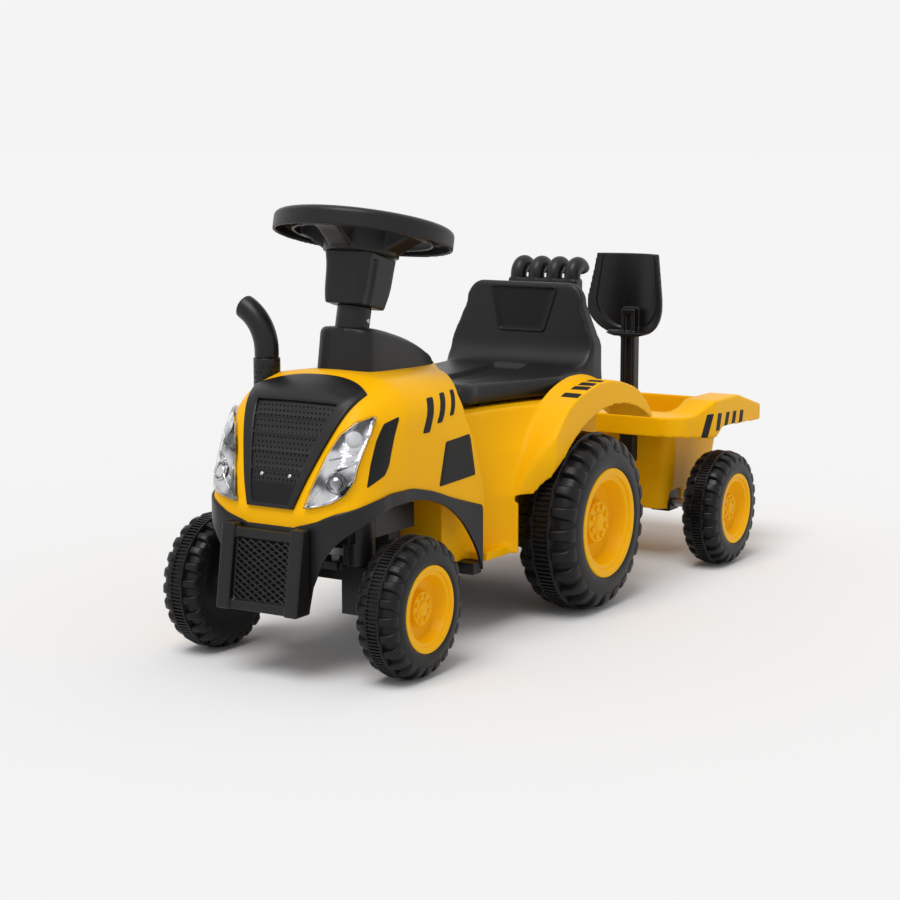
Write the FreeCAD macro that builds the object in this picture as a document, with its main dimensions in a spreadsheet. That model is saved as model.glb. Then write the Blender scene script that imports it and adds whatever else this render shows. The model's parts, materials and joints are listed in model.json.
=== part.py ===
"""Ride-on tractor toy with steered front wheels, a lift-up seat and a trailer with a shovel and a rake.

Millimetres. +X is forward, +Y is the rider's left, +Z is up.
The origin is on the ground below the rear axle, in the middle of the toy.
"""
import FreeCAD, Part
import math
import os
import Sketcher
from FreeCAD import Placement, Rotation, Vector

doc = FreeCAD.newDocument("RideOnTractor")
sheet = doc.addObject("Spreadsheet::Sheet", "Sizes")

# Driving sizes, one group for each sub-assembly
SIZES = {
    # Shared by all pieces
    "wall": 3.0,
    "fit_gap": 0.05,
    "seat_gap": 0.3,
    "slack_gap": 0.6,
    "overrun": 6.0,
    # Wheels and axles
    "axle_radius": 5.0,
    "front_axle_x": 328.0,
    "front_face_y": 133.5,
    "rear_face_y": 149.5,
    "trailer_axle_x": -282.0,
    "trailer_face_y": 172.0,
    "small_wheel_radius": 66.5,
    "small_wheel_width": 44.0,
    "rear_wheel_radius": 94.0,
    "rear_wheel_width": 66.0,
    "lug_count": 24,
    "nut_count": 8,
    "nut_radius": 2.6,
    "nut_height": 2.2,
    "bearing_radius": 11.5,
    "cap_radius": 8.5,
    "cap_length": 7.0,
    "hub_skin": 2.4,
    # Hood
    "hood_rear_x": 160.0,
    "hood_length": 231.0,
    "hood_half_width": 93.0,
    "hood_top_z": 275.0,
    "hood_shoulder": 42.0,
    "hood_crown": 4.0,
    "hood_base_z": 62.0,
    "hood_edge_front_z": 142.0,
    "hood_edge_crest_z": 167.0,
    "hood_edge_crest_x": 293.0,
    "hood_edge_rear_z": 131.0,
    "hood_tail_x": 126.0,
    "hood_tail_half": 11.0,
    "hood_flare": 5.0,
    "hood_flare_front_x": 287.0,
    "hood_flare_z": 226.0,
    "hood_flare_drop": 16.0,
    # Grille and headlamps
    "grille_proud": 2.6,
    "grille_mesh_proud": 1.0,
    "grille_top_half": 62.0,
    "grille_bottom_half": 25.0,
    "grille_top_z": 264.0,
    "grille_bottom_z": 159.0,
    "grille_rear_x": 318.0,
    "grille_border": 9.0,
    "grille_visor_z": 249.0,
    "grille_band_z": 180.0,
    "grille_rib_count": 5,
    "grille_rib_height": 3.4,
    "grille_rib_proud": 2.0,
    "lamp_proud": 4.2,
    "lens_wall": 1.5,
    "reflector_proud": 0.8,
    "lamp_bowl_radius": 8.0,
    "lamp_tip_y": 42.0,
    "lamp_tip_z": 160.0,
    "lamp_top_y": 80.5,
    "lamp_top_z": 241.0,
    # Front bumper and its guard
    "bumper_proud": 2.5,
    "bumper_foot_x": 176.0,
    "bumper_bend_x": 203.0,
    "bumper_bend_z": 117.0,
    "bumper_arch_rear_x": 248.0,
    "bumper_arch_rear_z": 149.0,
    "bumper_arch_z": 158.5,
    "bumper_arch_front_set": 53.0,
    "bumper_arch_front_z": 151.0,
    "apron_bend_set": 18.0,
    "apron_bend_z": 127.0,
    "apron_foot_set": 5.0,
    "guard_depth": 26.0,
    "guard_lean": 12.0,
    "guard_half_width": 46.0,
    "guard_bar_width": 15.0,
    "guard_top_z": 143.0,
    "guard_lip": 9.0,
    "guard_recess": 7.0,
    "guard_rail_set": 4.0,
    # Chassis floor
    "floor_z": 64.0,
    "floor_thick": 12.0,
    "floor_half_width": 58.0,
    "floor_rear_x": -106.0,
    "floor_front_x": 262.0,
    "tower_rear_x": 240.0,
    "tower_front_x": 352.0,
    "tower_base_z": 122.0,
    "tower_top_z": 146.0,
    "tower_half_width": 60.0,
    "tower_leg_half_width": 44.0,
    "kingpin_y": 55.0,
    "kingpin_radius": 7.0,
    "boss_radius": 15.0,
    "boss_base_z": 100.0,
    "boss_top_z": 156.0,
    "saddle_half_length": 14.0,
    "saddle_inner_y": 44.0,
    # Hitch and drawbar
    "hitch_x": -130.0,
    "hitch_half_width": 18.0,
    "hitch_pin_radius": 5.0,
    "hitch_head_radius": 9.0,
    "hitch_head_height": 4.0,
    "hitch_cheek": 6.0,
    "drawbar_thick": 10.0,
    "drawbar_half_width": 14.0,
    "drawbar_eye_radius": 15.0,
    "drawbar_foot_x": -268.0,
    # Rear body with fenders
    "body_front_x": 206.0,
    "body_rear_x": -106.0,
    "waist_x": 112.0,
    "waist_half_width": 70.0,
    "waist_front_x": 152.0,
    "waist_edge_y": 98.0,
    "waist_return": 9.0,
    "body_half_width": 78.0,
    "deck_z": 222.0,
    "step_half_width": 94.0,
    "step_height": 9.0,
    "step_front_x": 160.0,
    "step_post": 5.0,
    "step_post_height": 52.0,
    "fender_outer_y": 118.0,
    "fender_corner_y": 101.0,
    "fender_corner_x": 82.0,
    "fender_front_x": 112.0,
    "fender_base_z": 136.0,
    "fender_crest_x": -16.0,
    "fender_crest_z": 245.0,
    "fender_tip_x": -141.0,
    "fender_tip_z": 190.0,
    "fender_lip": 36.0,
    "fender_front_lip": 18.0,
    # Storage bin under the seat
    "bin_front_x": 96.0,
    "bin_rear_x": -60.0,
    "bin_half_width": 44.0,
    "bin_floor_z": 116.0,
    "bin_flange": 8.0,
    # Seat
    "seat_front_x": 138.0,
    "seat_rear_x": -97.0,
    "seat_half_width": 90.0,
    "seat_nose_half": 55.0,
    "seat_pan_thick": 23.0,
    "seat_back_thick": 24.0,
    "seat_edge": 13.0,
    "seat_back_top_z": 337.0,
    "seat_back_top_half": 70.0,
    "seat_notch_depth": 66.0,
    "seat_notch_half": 30.0,
    "seat_hinge_offset": 9.0,
    "seat_hinge_rise": 6.0,
    "seat_hinge_y": 48.0,
    "hinge_pin_radius": 2.5,
    "hinge_knuckle_radius": 5.5,
    "hinge_knuckle_length": 16.0,
    # Dash cowl and exhaust
    "cowl_front_x": 300.0,
    "cowl_tip_x": 131.0,
    "cowl_half_width": 38.0,
    "cowl_top_z": 313.0,
    "cowl_tip_z": 268.0,
    "cowl_base_z": 262.0,
    "exhaust_x": 300.0,
    "exhaust_y": -70.0,
    "exhaust_base_z": 236.0,
    "exhaust_can_radius": 13.0,
    "exhaust_can_top_z": 284.0,
    "exhaust_pipe_radius": 10.5,
    "exhaust_pipe_wall": 2.0,
    "exhaust_rise": 6.0,
    "exhaust_bend_radius": 47.0,
    "exhaust_bend_angle": 64.0,
    # Steering, measured along the leaning column
    "column_x": 257.0,
    "column_z": 312.0,
    "column_lean": 13.2,
    "column_radius": 16.5,
    "column_length": 21.0,
    "column_sink": 20.0,
    "shaft_radius": 6.0,
    "shaft_foot_z": 100.0,
    "bush_radius": 12.0,
    "hub_base_half": 23.0,
    "hub_top_half": 31.0,
    "hub_length": 50.0,
    "hub_corner": 9.0,
    "rim_radius": 87.5,
    "rim_depth": 21.0,
    "rim_height": 27.5,
    "rim_base": 85.0,
    "pad_radius": 37.0,
    "pad_height": 30.0,
    "spoke_width": 26.0,
    "spoke_height": 11.0,
    "horn_radius": 13.0,
    "melody_radius": 6.0,
    "melody_y": 24.0,
    "button_height": 8.0,
    "button_proud": 3.0,
    "button_travel": 2.5,
    "crank_length": 20.0,
    "crank_width": 14.0,
    "crank_thick": 7.0,
    "link_pin_radius": 4.0,
    "link_pin_length": 12.0,
    # Knuckles and tie rod
    "knuckle_half": 12.0,
    "knuckle_base_z": 54.0,
    "arm_length": 36.0,
    "arm_half_width": 7.0,
    "arm_top_z": 84.0,
    "arm_thick": 8.0,
    "tie_rod_half_width": 9.0,
    "tie_rod_thick": 8.0,
    "tie_rod_lobe": 13.0,
    "tie_slot_play": 2.4,
    "crank_slot_play": 9.0,
    "crank_slot_offset": 2.0,
    # Trailer
    "trailer_front_x": -212.0,
    "trailer_tail_x": -417.0,
    "trailer_rim_half": 132.0,
    "trailer_wing_half": 143.0,
    "trailer_rim_z": 177.0,
    "trailer_crest_z": 191.0,
    "trailer_tail_z": 171.0,
    "trailer_rim_band": 23.0,
    "trailer_rim_corner": 30.0,
    "tub_front_x": -247.0,
    "tub_rear_x": -396.0,
    "tub_half_width": 106.0,
    "tub_base_z": 60.0,
    "tub_draft_x": 12.0,
    "tub_draft_y": 14.0,
    "tub_corner": 16.0,
    "tunnel_half": 13.0,
    "tunnel_top_z": 82.0,
    "axle_block_width": 24.0,
    "tool_x": -230.0,
    "tool_y": 56.0,
    # Hand tools
    "handle_width": 18.0,
    "handle_depth": 13.0,
    "handle_foot_z": 120.0,
    "handle_collar": 5.0,
    "handle_collar_height": 5.0,
    "handle_groove": 4.0,
    "shovel_width": 94.0,
    "shovel_base_z": 267.0,
    "shovel_top_z": 362.0,
    "shovel_scoop_radius": 70.0,
    "shovel_wall": 4.5,
    "shovel_recess": 1.8,
    "shovel_rim": 9.0,
    "rake_width": 87.0,
    "rake_head_z": 312.0,
    "rake_head_height": 16.0,
    "rake_tine_radius": 7.5,
    "rake_tine_count": 4,
    "rake_curl_radius": 13.0,
    "rake_curl_angle": 150.0,
}

# Outlines given as shares of the sizes that they follow
# Hood stations: place along the length, then shares of half width, top height and shoulder radius
HOOD_STATION_SHARES = [
    (0.0, 0.985, 0.972, 1.0),
    (0.3, 1.0, 0.992, 1.0),
    (0.6, 0.975, 1.0, 0.95),
    (0.76, 0.90, 0.968, 0.8),
    (0.82, 0.845, 0.942, 0.7),
    (0.87, 0.785, 0.905, 0.6),
    (0.91, 0.725, 0.85, 0.5),
    (0.945, 0.655, 0.775, 0.4),
    (0.975, 0.565, 0.68, 0.3),
    (1.0, 0.45, 0.56, 0.2),
]
# Rear edge of the hood in the side view: shares of its length and of its height above the lower edge
HOOD_REAR_SHARES = [(0.043, 0.0), (0.052, 0.13), (0.104, 0.39), (0.169, 0.64), (0.19, 0.79)]
# Point on the sweep of that edge over the top: shares from its corner to the tail and of the half width
HOOD_SWEEP_SHARES = (0.38, 0.52)
# Tyre section: shares of wheel radius and of wheel width, outer half from bore to tread
TYRE_HALF_SHARES = [(0.62, 0.5), (0.74, 0.5), (0.83, 0.475), (0.89, 0.41), (0.92, 0.28), (0.925, 0.18),
                    (0.985, 0.165), (1.0, 0.15), (1.0, 0.13)]
# Wall that closes the tyre's inner side: radius of its hole and its thickness
TYRE_BACK_SHARES = (0.36, 0.06)
LUG_SHARES = [(0.90, 0.14), (0.985, 0.14), (0.975, 0.29), (0.945, 0.40), (0.895, 0.475), (0.80, 0.485)]
LUG_THICK_SHARE = 0.125
# Hub section: shares of wheel radius and of wheel width, from the rim lip to the boss
HUB_DISH_SHARES = [(0.60, 0.5), (0.548, 0.5), (0.53, 0.465), (0.485, 0.45), (0.465, 0.40), (0.395, 0.17),
                   (0.26, 0.14), (0.24, 0.25)]
HUB_LIP_SHARE = 0.615
# Inner end of the hub's barrel, which stops short of the tyre's inner wall
HUB_BARREL_SHARE = -0.43
HUB_DOME_SHARES = (0.1, 0.035)
NUT_CIRCLE_SHARE = 0.165
# Headlamp outline in the front view: shares from the lower tip to the upper tip
LAMP_SHARES = [(0.0, 0.0), (0.16, 0.26), (0.38, 0.60), (0.70, 0.93), (0.96, 1.0), (1.06, 0.96),
               (1.02, 0.62), (0.94, 0.36), (0.70, 0.17), (0.30, 0.03)]
LAMP_BOWL_SHARES = [(0.60, 0.27), (0.90, 0.74)]
# Round edge of the seat: shares of its radius, below the top and in from the side
SEAT_EDGE_SHARES = [(0.0, 1.0), (0.15, 0.5), (0.45, 0.17), (1.0, 0.0)]
WAIST_HOLLOW_SHARE = 0.33
SHOVEL_FOOT_SHARE = 0.3
SHOVEL_SIDE_SHARE = 0.45
SHOVEL_TOP_SHARE = 0.82
# Point of the shovel's round corner: shares of its half width and of its height
SHOVEL_CORNER_SHARES = (0.80, 0.13)
SHOVEL_SHANK_SHARE = 0.33
COWL_WAIST_SHARE = 0.72
HUB_GROOVE_SHARE = 0.62
# Lower edge of the trailer's rim: shares of its length from the front and of its band
RIM_EDGE_SHARES = [(0.0, 0.0), (0.22, 0.22), (0.33, 0.34), (0.37, 0.30), (0.46, -0.16), (1.0, 0.06)]
RIM_ROUND_SHARE = 0.33

for row, (alias, value) in enumerate(SIZES.items(), start=1):
    sheet.set(f"A{row}", alias)
    sheet.set(f"B{row}", str(value))
    sheet.setAlias(f"B{row}", alias)
doc.recompute()


class Sizes:
    """Reads a driving size from the sheet by its name."""

    def __getattr__(self, alias):
        return float(sheet.get(alias))


s = Sizes()
ORIGIN = Vector(0, 0, 0)
ACROSS = Vector(0, 1, 0)
UP = Vector(0, 0, 1)
pieces = []


class Bow(tuple):
    """A point that an arc passes through between the corners on each side of it."""


# A view turns a flat point and a depth into a point in space
VIEWS = {
    "side": lambda point, depth: Vector(point[0], depth, point[1]),
    "plan": lambda point, depth: Vector(point[0], point[1], depth),
    "front": lambda point, depth: Vector(depth, point[0], point[1]),
}


def outline_wire(points, view, depth):
    """Closed wire through corners, with an arc wherever a Bow stands between two of them."""
    corners = list(points) + [points[0]]
    edges = []
    start = VIEWS[view](corners[0], depth)
    step = 1
    while step < len(corners):
        if isinstance(corners[step], Bow):
            middle = VIEWS[view](corners[step], depth)
            end = VIEWS[view](corners[step + 1], depth)
            edges.append(Part.Arc(start, middle, end).toShape())
            step += 2
        else:
            end = VIEWS[view](corners[step], depth)
            edges.append(Part.LineSegment(start, end).toShape())
            step += 1
        start = end
    return Part.Wire(edges)


def prism(points, view, low, high):
    """Solid swept square to a view, from one depth to another."""
    face = Part.Face(outline_wire(points, view, low))
    return face.extrude(VIEWS[view]((0, 0), high - low))


def both_sides(half):
    """Whole outline from its half on the left, mirrored to the right."""
    return list(half) + [type(point)((point[0], -point[1])) for point in reversed(half)]


def front_both_sides(half):
    """Whole front outline from its left half, mirrored to the right."""
    return list(half) + [type(point)((-point[0], point[1])) for point in reversed(half)]


def box(low_x, high_x, low_y, high_y, low_z, high_z):
    """Box between two corners."""
    corner = Vector(low_x, low_y, low_z)
    return Part.makeBox(high_x - low_x, high_y - low_y, high_z - low_z, corner)


def rod(radius, start, end):
    """Round rod from one point to another."""
    return Part.makeCylinder(radius, (end - start).Length, start, end - start)


def rounded_box(half_x, half_y, corner, height_low):
    """Wire of a rectangle with round corners, square to the upright axis."""
    cut = corner * (1 - math.sqrt(0.5))
    right, left = half_x, -half_x
    top, bottom = half_y, -half_y
    points = [
        (right, bottom + corner), (right, top - corner), Bow((right - cut, top - cut)),
        (right - corner, top), (left + corner, top), Bow((left + cut, top - cut)),
        (left, top - corner), (left, bottom + corner), Bow((left + cut, bottom + cut)),
        (left + corner, bottom), (right - corner, bottom), Bow((right - cut, bottom + cut)),
    ]
    return outline_wire(points, "plan", height_low)


def mirrored(shape):
    """The same piece for the other side of the toy."""
    return shape.mirror(ORIGIN, ACROSS)


def add_piece(label, shape, placement=None):
    """Stores one finished piece under its name."""
    piece = doc.addObject("Part::Feature", label)
    piece.Label = label
    piece.Shape = shape
    if placement is not None:
        piece.Placement = placement
    pieces.append(piece)
    return piece


def add_cylinder(label, radius, height):
    """Cylinder whose radius and height follow the sheet."""
    cylinder = doc.addObject("Part::Cylinder", label)
    cylinder.Label = label
    cylinder.setExpression("Radius", radius)
    cylinder.setExpression("Height", height)
    return cylinder


# Sketches whose every corner follows the sheet
def origin_feature(body, role):
    """One of a body's own origin planes or axes."""
    return next(item for item in body.Origin.OriginFeatures if item.Role == role)


def polygon_sketch(body, name, corners):
    """Closed sketch on the body's XY plane, with the place of each corner given as two expressions."""
    sketch = body.newObject("Sketcher::SketchObject", name)
    sketch.AttachmentSupport = [(origin_feature(body, "XY_Plane"), "")]
    sketch.MapMode = "FlatFace"
    places = [[float(sketch.evalExpression(expression)) for expression in corner] for corner in corners]
    for index, (x, y) in enumerate(places):
        next_x, next_y = places[(index + 1) % len(places)]
        sketch.addGeometry(Part.LineSegment(Vector(x, y, 0), Vector(next_x, next_y, 0)))
    for index in range(len(corners)):
        sketch.addConstraint(Sketcher.Constraint("Coincident", index, 2, (index + 1) % len(corners), 1))
    for index, corner in enumerate(corners):
        for kind, expression, value in zip(("DistanceX", "DistanceY"), corner, places[index]):
            ends = (-1, 1, index, 1) if value >= 0 else (index, 1, -1, 1)
            number = sketch.addConstraint(Sketcher.Constraint(kind, *ends, abs(value)))
            sign = "" if value >= 0 else "-1 * "
            sketch.setExpression(f"Constraints[{number}]", f"{sign}({expression})")
    return sketch


def turn_about_axle(body, name, sketch):
    """Revolves a section about the axle, which is the body's Y axis."""
    turned = body.newObject("PartDesign::Revolution", name)
    turned.Profile = sketch
    turned.ReferenceAxis = (sketch, ["V_Axis"])
    turned.Angle = 360.0
    body.Tip = turned
    return turned


def ring_of(body, name, features, count_alias):
    """Repeats features evenly about the axle."""
    pattern = body.newObject("PartDesign::PolarPattern", name)
    pattern.Originals = features
    pattern.Axis = (origin_feature(body, "Y_Axis"), [""])
    pattern.Angle = 360.0
    pattern.setExpression("Occurrences", f"Sizes.{count_alias}")
    body.Tip = pattern
    return pattern


def share_corners(shares, size):
    """Section corners as expressions, from shares of a wheel's radius and width."""
    radius, width = f"Sizes.{size}_radius", f"Sizes.{size}_width"
    return [(f"{radius} * {outward}", f"{width} * {across}") for outward, across in shares]


def tyre_body(label, size):
    """Moulded tyre: a raised middle band, a row of lugs on each shoulder and a wall across its inner side."""
    body = doc.addObject("PartDesign::Body", label)
    inner_half = [(radius, -across) for radius, across in reversed(TYRE_HALF_SHARES)]
    hole, thick = TYRE_BACK_SHARES
    bore, face = inner_half[-1]
    back = [(hole, face), (hole, face + thick), (bore, face + thick)]
    section = polygon_sketch(body, "Section", share_corners(TYRE_HALF_SHARES + inner_half + back, size))
    turn_about_axle(body, "Carcass", section)
    half_pitch = 180.0 / s.lug_count
    lugs = []
    for name, side, turn in (("OuterLug", 1, 0), ("InnerLug", -1, half_pitch)):
        corners = [(radius, side * across) for radius, across in LUG_SHARES]
        sketch = polygon_sketch(body, f"{name}Section", share_corners(corners, size))
        sketch.AttachmentOffset = Placement(ORIGIN, Rotation(ACROSS, turn))
        lug = body.newObject("PartDesign::Pad", name)
        lug.Profile = sketch
        lug.SideType = "Symmetric"
        lug.setExpression("Length", f"Sizes.{size}_radius * {LUG_THICK_SHARE}")
        body.Tip = lug
        lugs.append(lug)
    ring_of(body, "LugRing", lugs, "lug_count")
    return body


def hub_body(label, size):
    """Dished wheel hub with a bearing tube along the axle and an open pocket in its boss."""
    body = doc.addObject("PartDesign::Body", label)
    radius, width = f"Sizes.{size}_radius", f"Sizes.{size}_width"
    skin = "Sizes.hub_skin"
    bore = "Sizes.axle_radius + Sizes.fit_gap"
    pocket = "Sizes.cap_radius + Sizes.slack_gap"
    pocket_floor = f"{width} * {HUB_DISH_SHARES[-1][1]} - Sizes.cap_length - Sizes.slack_gap"
    dish = share_corners(HUB_DISH_SHARES, size)
    back = [(across_radius, f"{across} - {skin}") for across_radius, across in dish[1:-2]]
    corners = [(f"{radius} * {HUB_LIP_SHARE}", f"{width} * 0.5"), *dish]
    corners += [(pocket, dish[-1][1]), (pocket, pocket_floor), (bore, pocket_floor)]
    corners += [(bore, f"{width} * -0.5"), ("Sizes.bearing_radius", f"{width} * -0.5")]
    corners += [("Sizes.bearing_radius", f"{dish[-2][1]} - {skin}")]
    corners += list(reversed(back))
    corners += [(f"{radius} * {HUB_LIP_SHARE} - {skin}", f"{dish[1][1]} - {skin}")]
    corners += [(f"{radius} * {HUB_LIP_SHARE} - {skin}", f"{width} * {HUB_BARREL_SHARE}")]
    corners += [(f"{radius} * {HUB_LIP_SHARE}", f"{width} * {HUB_BARREL_SHARE}")]
    turn_about_axle(body, "Dish", polygon_sketch(body, "Section", corners))
    return body


def hub_cap_body(label, size):
    """Snap-in cover of a hub's boss: a disc with a dome and a ring of nuts."""
    body = doc.addObject("PartDesign::Body", label)
    radius, width = f"Sizes.{size}_radius", f"Sizes.{size}_width"
    boss_radius = f"{radius} * {HUB_DISH_SHARES[-1][0]}"
    boss_face = f"{width} * {HUB_DISH_SHARES[-1][1]}"
    dome_radius, dome_rise = HUB_DOME_SHARES
    face = f"{boss_face} + Sizes.hub_skin"
    dome_edge = f"{radius} * {dome_radius}"
    dome_top = f"{face} + {width} * {dome_rise}"
    corners = [("0", boss_face), (boss_radius, boss_face), (boss_radius, face), (dome_edge, face)]
    corners += [(dome_edge, dome_top), ("0", dome_top)]
    turn_about_axle(body, "Cover", polygon_sketch(body, "Section", corners))
    nut_sketch = body.newObject("Sketcher::SketchObject", "NutSection")
    nut_sketch.AttachmentSupport = [(origin_feature(body, "XZ_Plane"), "")]
    nut_sketch.MapMode = "FlatFace"
    circle_radius = getattr(s, f"{size}_radius") * NUT_CIRCLE_SHARE
    nut_sketch.addGeometry(Part.Circle(Vector(circle_radius, 0, 0), UP, s.nut_radius))
    nut_sketch.addConstraint(Sketcher.Constraint("PointOnObject", 0, 3, -1))
    across = nut_sketch.addConstraint(Sketcher.Constraint("DistanceX", -1, 1, 0, 3, circle_radius))
    nut_sketch.setExpression(f"Constraints[{across}]", f"{radius} * {NUT_CIRCLE_SHARE}")
    round_size = nut_sketch.addConstraint(Sketcher.Constraint("Radius", 0, s.nut_radius))
    nut_sketch.setExpression(f"Constraints[{round_size}]", "Sizes.nut_radius")
    nut_sketch.setExpression("AttachmentOffset.Base.z", f"-1 * ({face})")
    nut = body.newObject("PartDesign::Pad", "Nut")
    nut.Profile = nut_sketch
    nut.Reversed = True
    nut.setExpression("Length", "Sizes.nut_height")
    body.Tip = nut
    ring_of(body, "NutRing", [nut], "nut_count")
    return body


def wheel_places(axle_x, face_y, radius, width):
    """Places of a left wheel and a right wheel on one axle, by the wheel's middle."""
    middle = face_y - width / 2
    left = Placement(Vector(axle_x, middle, radius), Rotation())
    right = Placement(Vector(axle_x, -middle, radius), Rotation(UP, 180.0))
    return {"left": left, "right": right}


def make_wheels():
    """Six wheels, each of a tyre, a hub and a hub cap. The front and trailer wheels are alike."""
    sizes = {"front": "small_wheel", "rear": "rear_wheel", "trailer": "small_wheel"}
    axles = {"front": s.front_axle_x, "rear": 0.0, "trailer": s.trailer_axle_x}
    faces = {"front": s.front_face_y, "rear": s.rear_face_y, "trailer": s.trailer_face_y}
    makers = {"tyre": tyre_body, "hub": hub_body, "hub_cap": hub_cap_body}
    models = {}
    for axle, size in sizes.items():
        radius = getattr(s, f"{size}_radius")
        width = getattr(s, f"{size}_width")
        for side, placement in wheel_places(axles[axle], faces[axle], radius, width).items():
            for kind, maker in makers.items():
                label = f"{axle}_{kind}_{side}"
                if (size, kind) not in models:
                    body = maker(label, size)
                    doc.recompute()
                    body.Placement = placement
                    models[size, kind] = body.Tip
                    pieces.append(body)
                else:
                    add_piece(label, models[size, kind].Shape.copy(), placement)


# Hood and what lies on its skin
def hood_loft(grow, lengthen=0.0):
    """Solid of the hood's outer form, grown by an even skin and run on to the rear."""
    wires = []
    for along, wide, tall, round_share in HOOD_STATION_SHARES:
        x = s.hood_rear_x + along * s.hood_length
        if along == 0.0:
            x -= lengthen
        if along == 1.0:
            x += grow
        half = s.hood_half_width * wide + grow
        top = s.hood_top_z * tall + grow
        corner = s.hood_shoulder * round_share + grow
        base = s.hood_base_z - s.overrun
        cut = corner * (1 - math.sqrt(0.5))
        drop = s.hood_crown * round_share
        points = [
            (half, base), (half, top - drop - corner), Bow((half - cut, top - drop - cut)),
            (half - corner, top - drop), Bow((0, top)), (corner - half, top - drop),
            Bow((cut - half, top - drop - cut)), (-half, top - drop - corner), (-half, base),
        ]
        wires.append(outline_wire(points, "front", x))
    return Part.makeLoft(wires, True, True)


def hood_edge():
    """Lower edge of the hood in the side view, from the nose to the rear."""
    front_x = nose_x() + s.overrun
    middle_x = (s.hood_rear_x + s.hood_edge_crest_x) / 2
    middle_z = (s.hood_edge_rear_z + s.hood_edge_crest_z) / 2
    return [(front_x, s.hood_edge_front_z), (s.hood_edge_crest_x, s.hood_edge_crest_z),
            (middle_x, middle_z), (s.hood_rear_x - s.overrun, s.hood_edge_rear_z)]


def reach():
    """Half depth that runs past both sides of the hood."""
    return s.hood_half_width + s.lamp_proud + s.overrun


def nose_x():
    """Front end of the hood."""
    return s.hood_rear_x + s.hood_length


def shaft_hole():
    """Loose hole for the steering shaft, from the column's foot down through the hood."""
    low = column_point(column_along(s.hood_base_z))
    return rod(s.shaft_radius + s.slack_gap, low, column_point(0))


def skin(inner, outer, outline, view, low, high):
    """Part of an even skin over the hood, within an outline."""
    return hood_loft(outer).common(prism(outline, view, low, high)).cut(hood_loft(inner))


def hood_rear():
    """What is cut off behind the hood: slanted at the sides, swept back to a tail in the middle of the top."""
    tall = s.hood_top_z - s.hood_edge_rear_z
    edge = [(s.hood_rear_x + along * s.hood_length, s.hood_edge_rear_z + up * tall)
            for along, up in HOOD_REAR_SHARES]
    behind = s.hood_tail_x - s.overrun - s.overrun
    corner_x, corner_z = edge[-1]
    sides = prism([(edge[0][0], 0), *edge, (behind, corner_z), (behind, 0)], "side", -reach(), reach())
    along, across = HOOD_SWEEP_SHARES
    sweep = Bow((corner_x - along * (corner_x - s.hood_tail_x), across * s.hood_half_width))
    plan = both_sides([(behind, reach()), (corner_x, reach()), (corner_x, s.hood_half_width - s.overrun),
                       sweep, (s.hood_tail_x, s.hood_tail_half)])
    return sides.fuse(prism(plan, "plan", corner_z, s.hood_top_z + s.overrun))


def tail_length():
    """How far the hood's form runs on behind its first station."""
    return s.hood_rear_x - s.hood_tail_x + s.overrun


def hood_flare():
    """Wedge on the left side of the hood that swells out to the rear, above the bumper."""
    wires = []
    for x, swell in ((s.hood_flare_front_x, s.fit_gap), (s.hood_rear_x, s.hood_flare)):
        inner = s.hood_half_width - s.wall / 2
        outer = s.hood_half_width + swell
        section = [(inner, s.hood_base_z), (outer, s.hood_base_z), (outer, s.hood_flare_z - s.hood_flare_drop),
                   (inner, s.hood_flare_z)]
        wires.append(outline_wire(section, "front", x))
    return Part.makeLoft(wires, True, True)


def make_hood():
    """Hood shell with a flare on each side, open below and at the rear."""
    below = s.hood_base_z - s.overrun - s.overrun
    edge = hood_edge()
    under = edge + [(edge[-1][0], below), (edge[0][0], below)]
    shell = hood_loft(0, tail_length()).cut(hood_loft(-s.wall, tail_length() + s.overrun))
    flare = hood_flare()
    shell = shell.fuse([flare, mirrored(flare)])
    shell = shell.cut([prism(under, "side", -reach(), reach()), hood_rear(), shaft_hole()])
    add_piece("hood_shell", shell.removeSplitter())


def grille_outline(inset, top_z, bottom_z):
    """Tapered outline of the grille in the front view."""
    slope = (s.grille_top_half - s.grille_bottom_half) / (s.grille_top_z - s.grille_bottom_z)
    top_half = s.grille_bottom_half + slope * (top_z - s.grille_bottom_z) - inset
    bottom_half = s.grille_bottom_half + slope * (bottom_z - s.grille_bottom_z) - inset
    return [(bottom_half, bottom_z), (top_half, top_z), (-top_half, top_z), (-bottom_half, bottom_z)]


def make_grille():
    """Grille panel: a raised frame and visor round a sunk mesh field with ribs across it."""
    front = nose_x() + s.overrun
    crown = s.hood_top_z + s.overrun
    whole = grille_outline(0, crown, s.grille_bottom_z)
    field = grille_outline(s.grille_border, s.grille_visor_z, s.grille_band_z)
    frame = skin(0, s.grille_proud, whole, "front", s.grille_rear_x, front)
    frame = frame.cut(prism(field, "front", s.grille_rear_x, front))
    panel = frame.fuse(skin(0, s.grille_mesh_proud, field, "front", s.grille_rear_x, front))
    pitch = (s.grille_visor_z - s.grille_band_z) / s.grille_rib_count
    for number in range(1, int(s.grille_rib_count)):
        low = s.grille_band_z + number * pitch
        rib = grille_outline(s.grille_border, low + s.grille_rib_height, low)
        panel = panel.fuse(skin(0, s.grille_rib_proud, rib, "front", s.grille_rear_x, front))
    add_piece("grille_panel", panel.removeSplitter())


def lamp_point(share):
    """Point of the headlamp in the front view, from its shares between the two tips."""
    across, along = share
    return (s.lamp_tip_y + across * (s.lamp_top_y - s.lamp_tip_y),
            s.lamp_tip_z + along * (s.lamp_top_z - s.lamp_tip_z))


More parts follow.
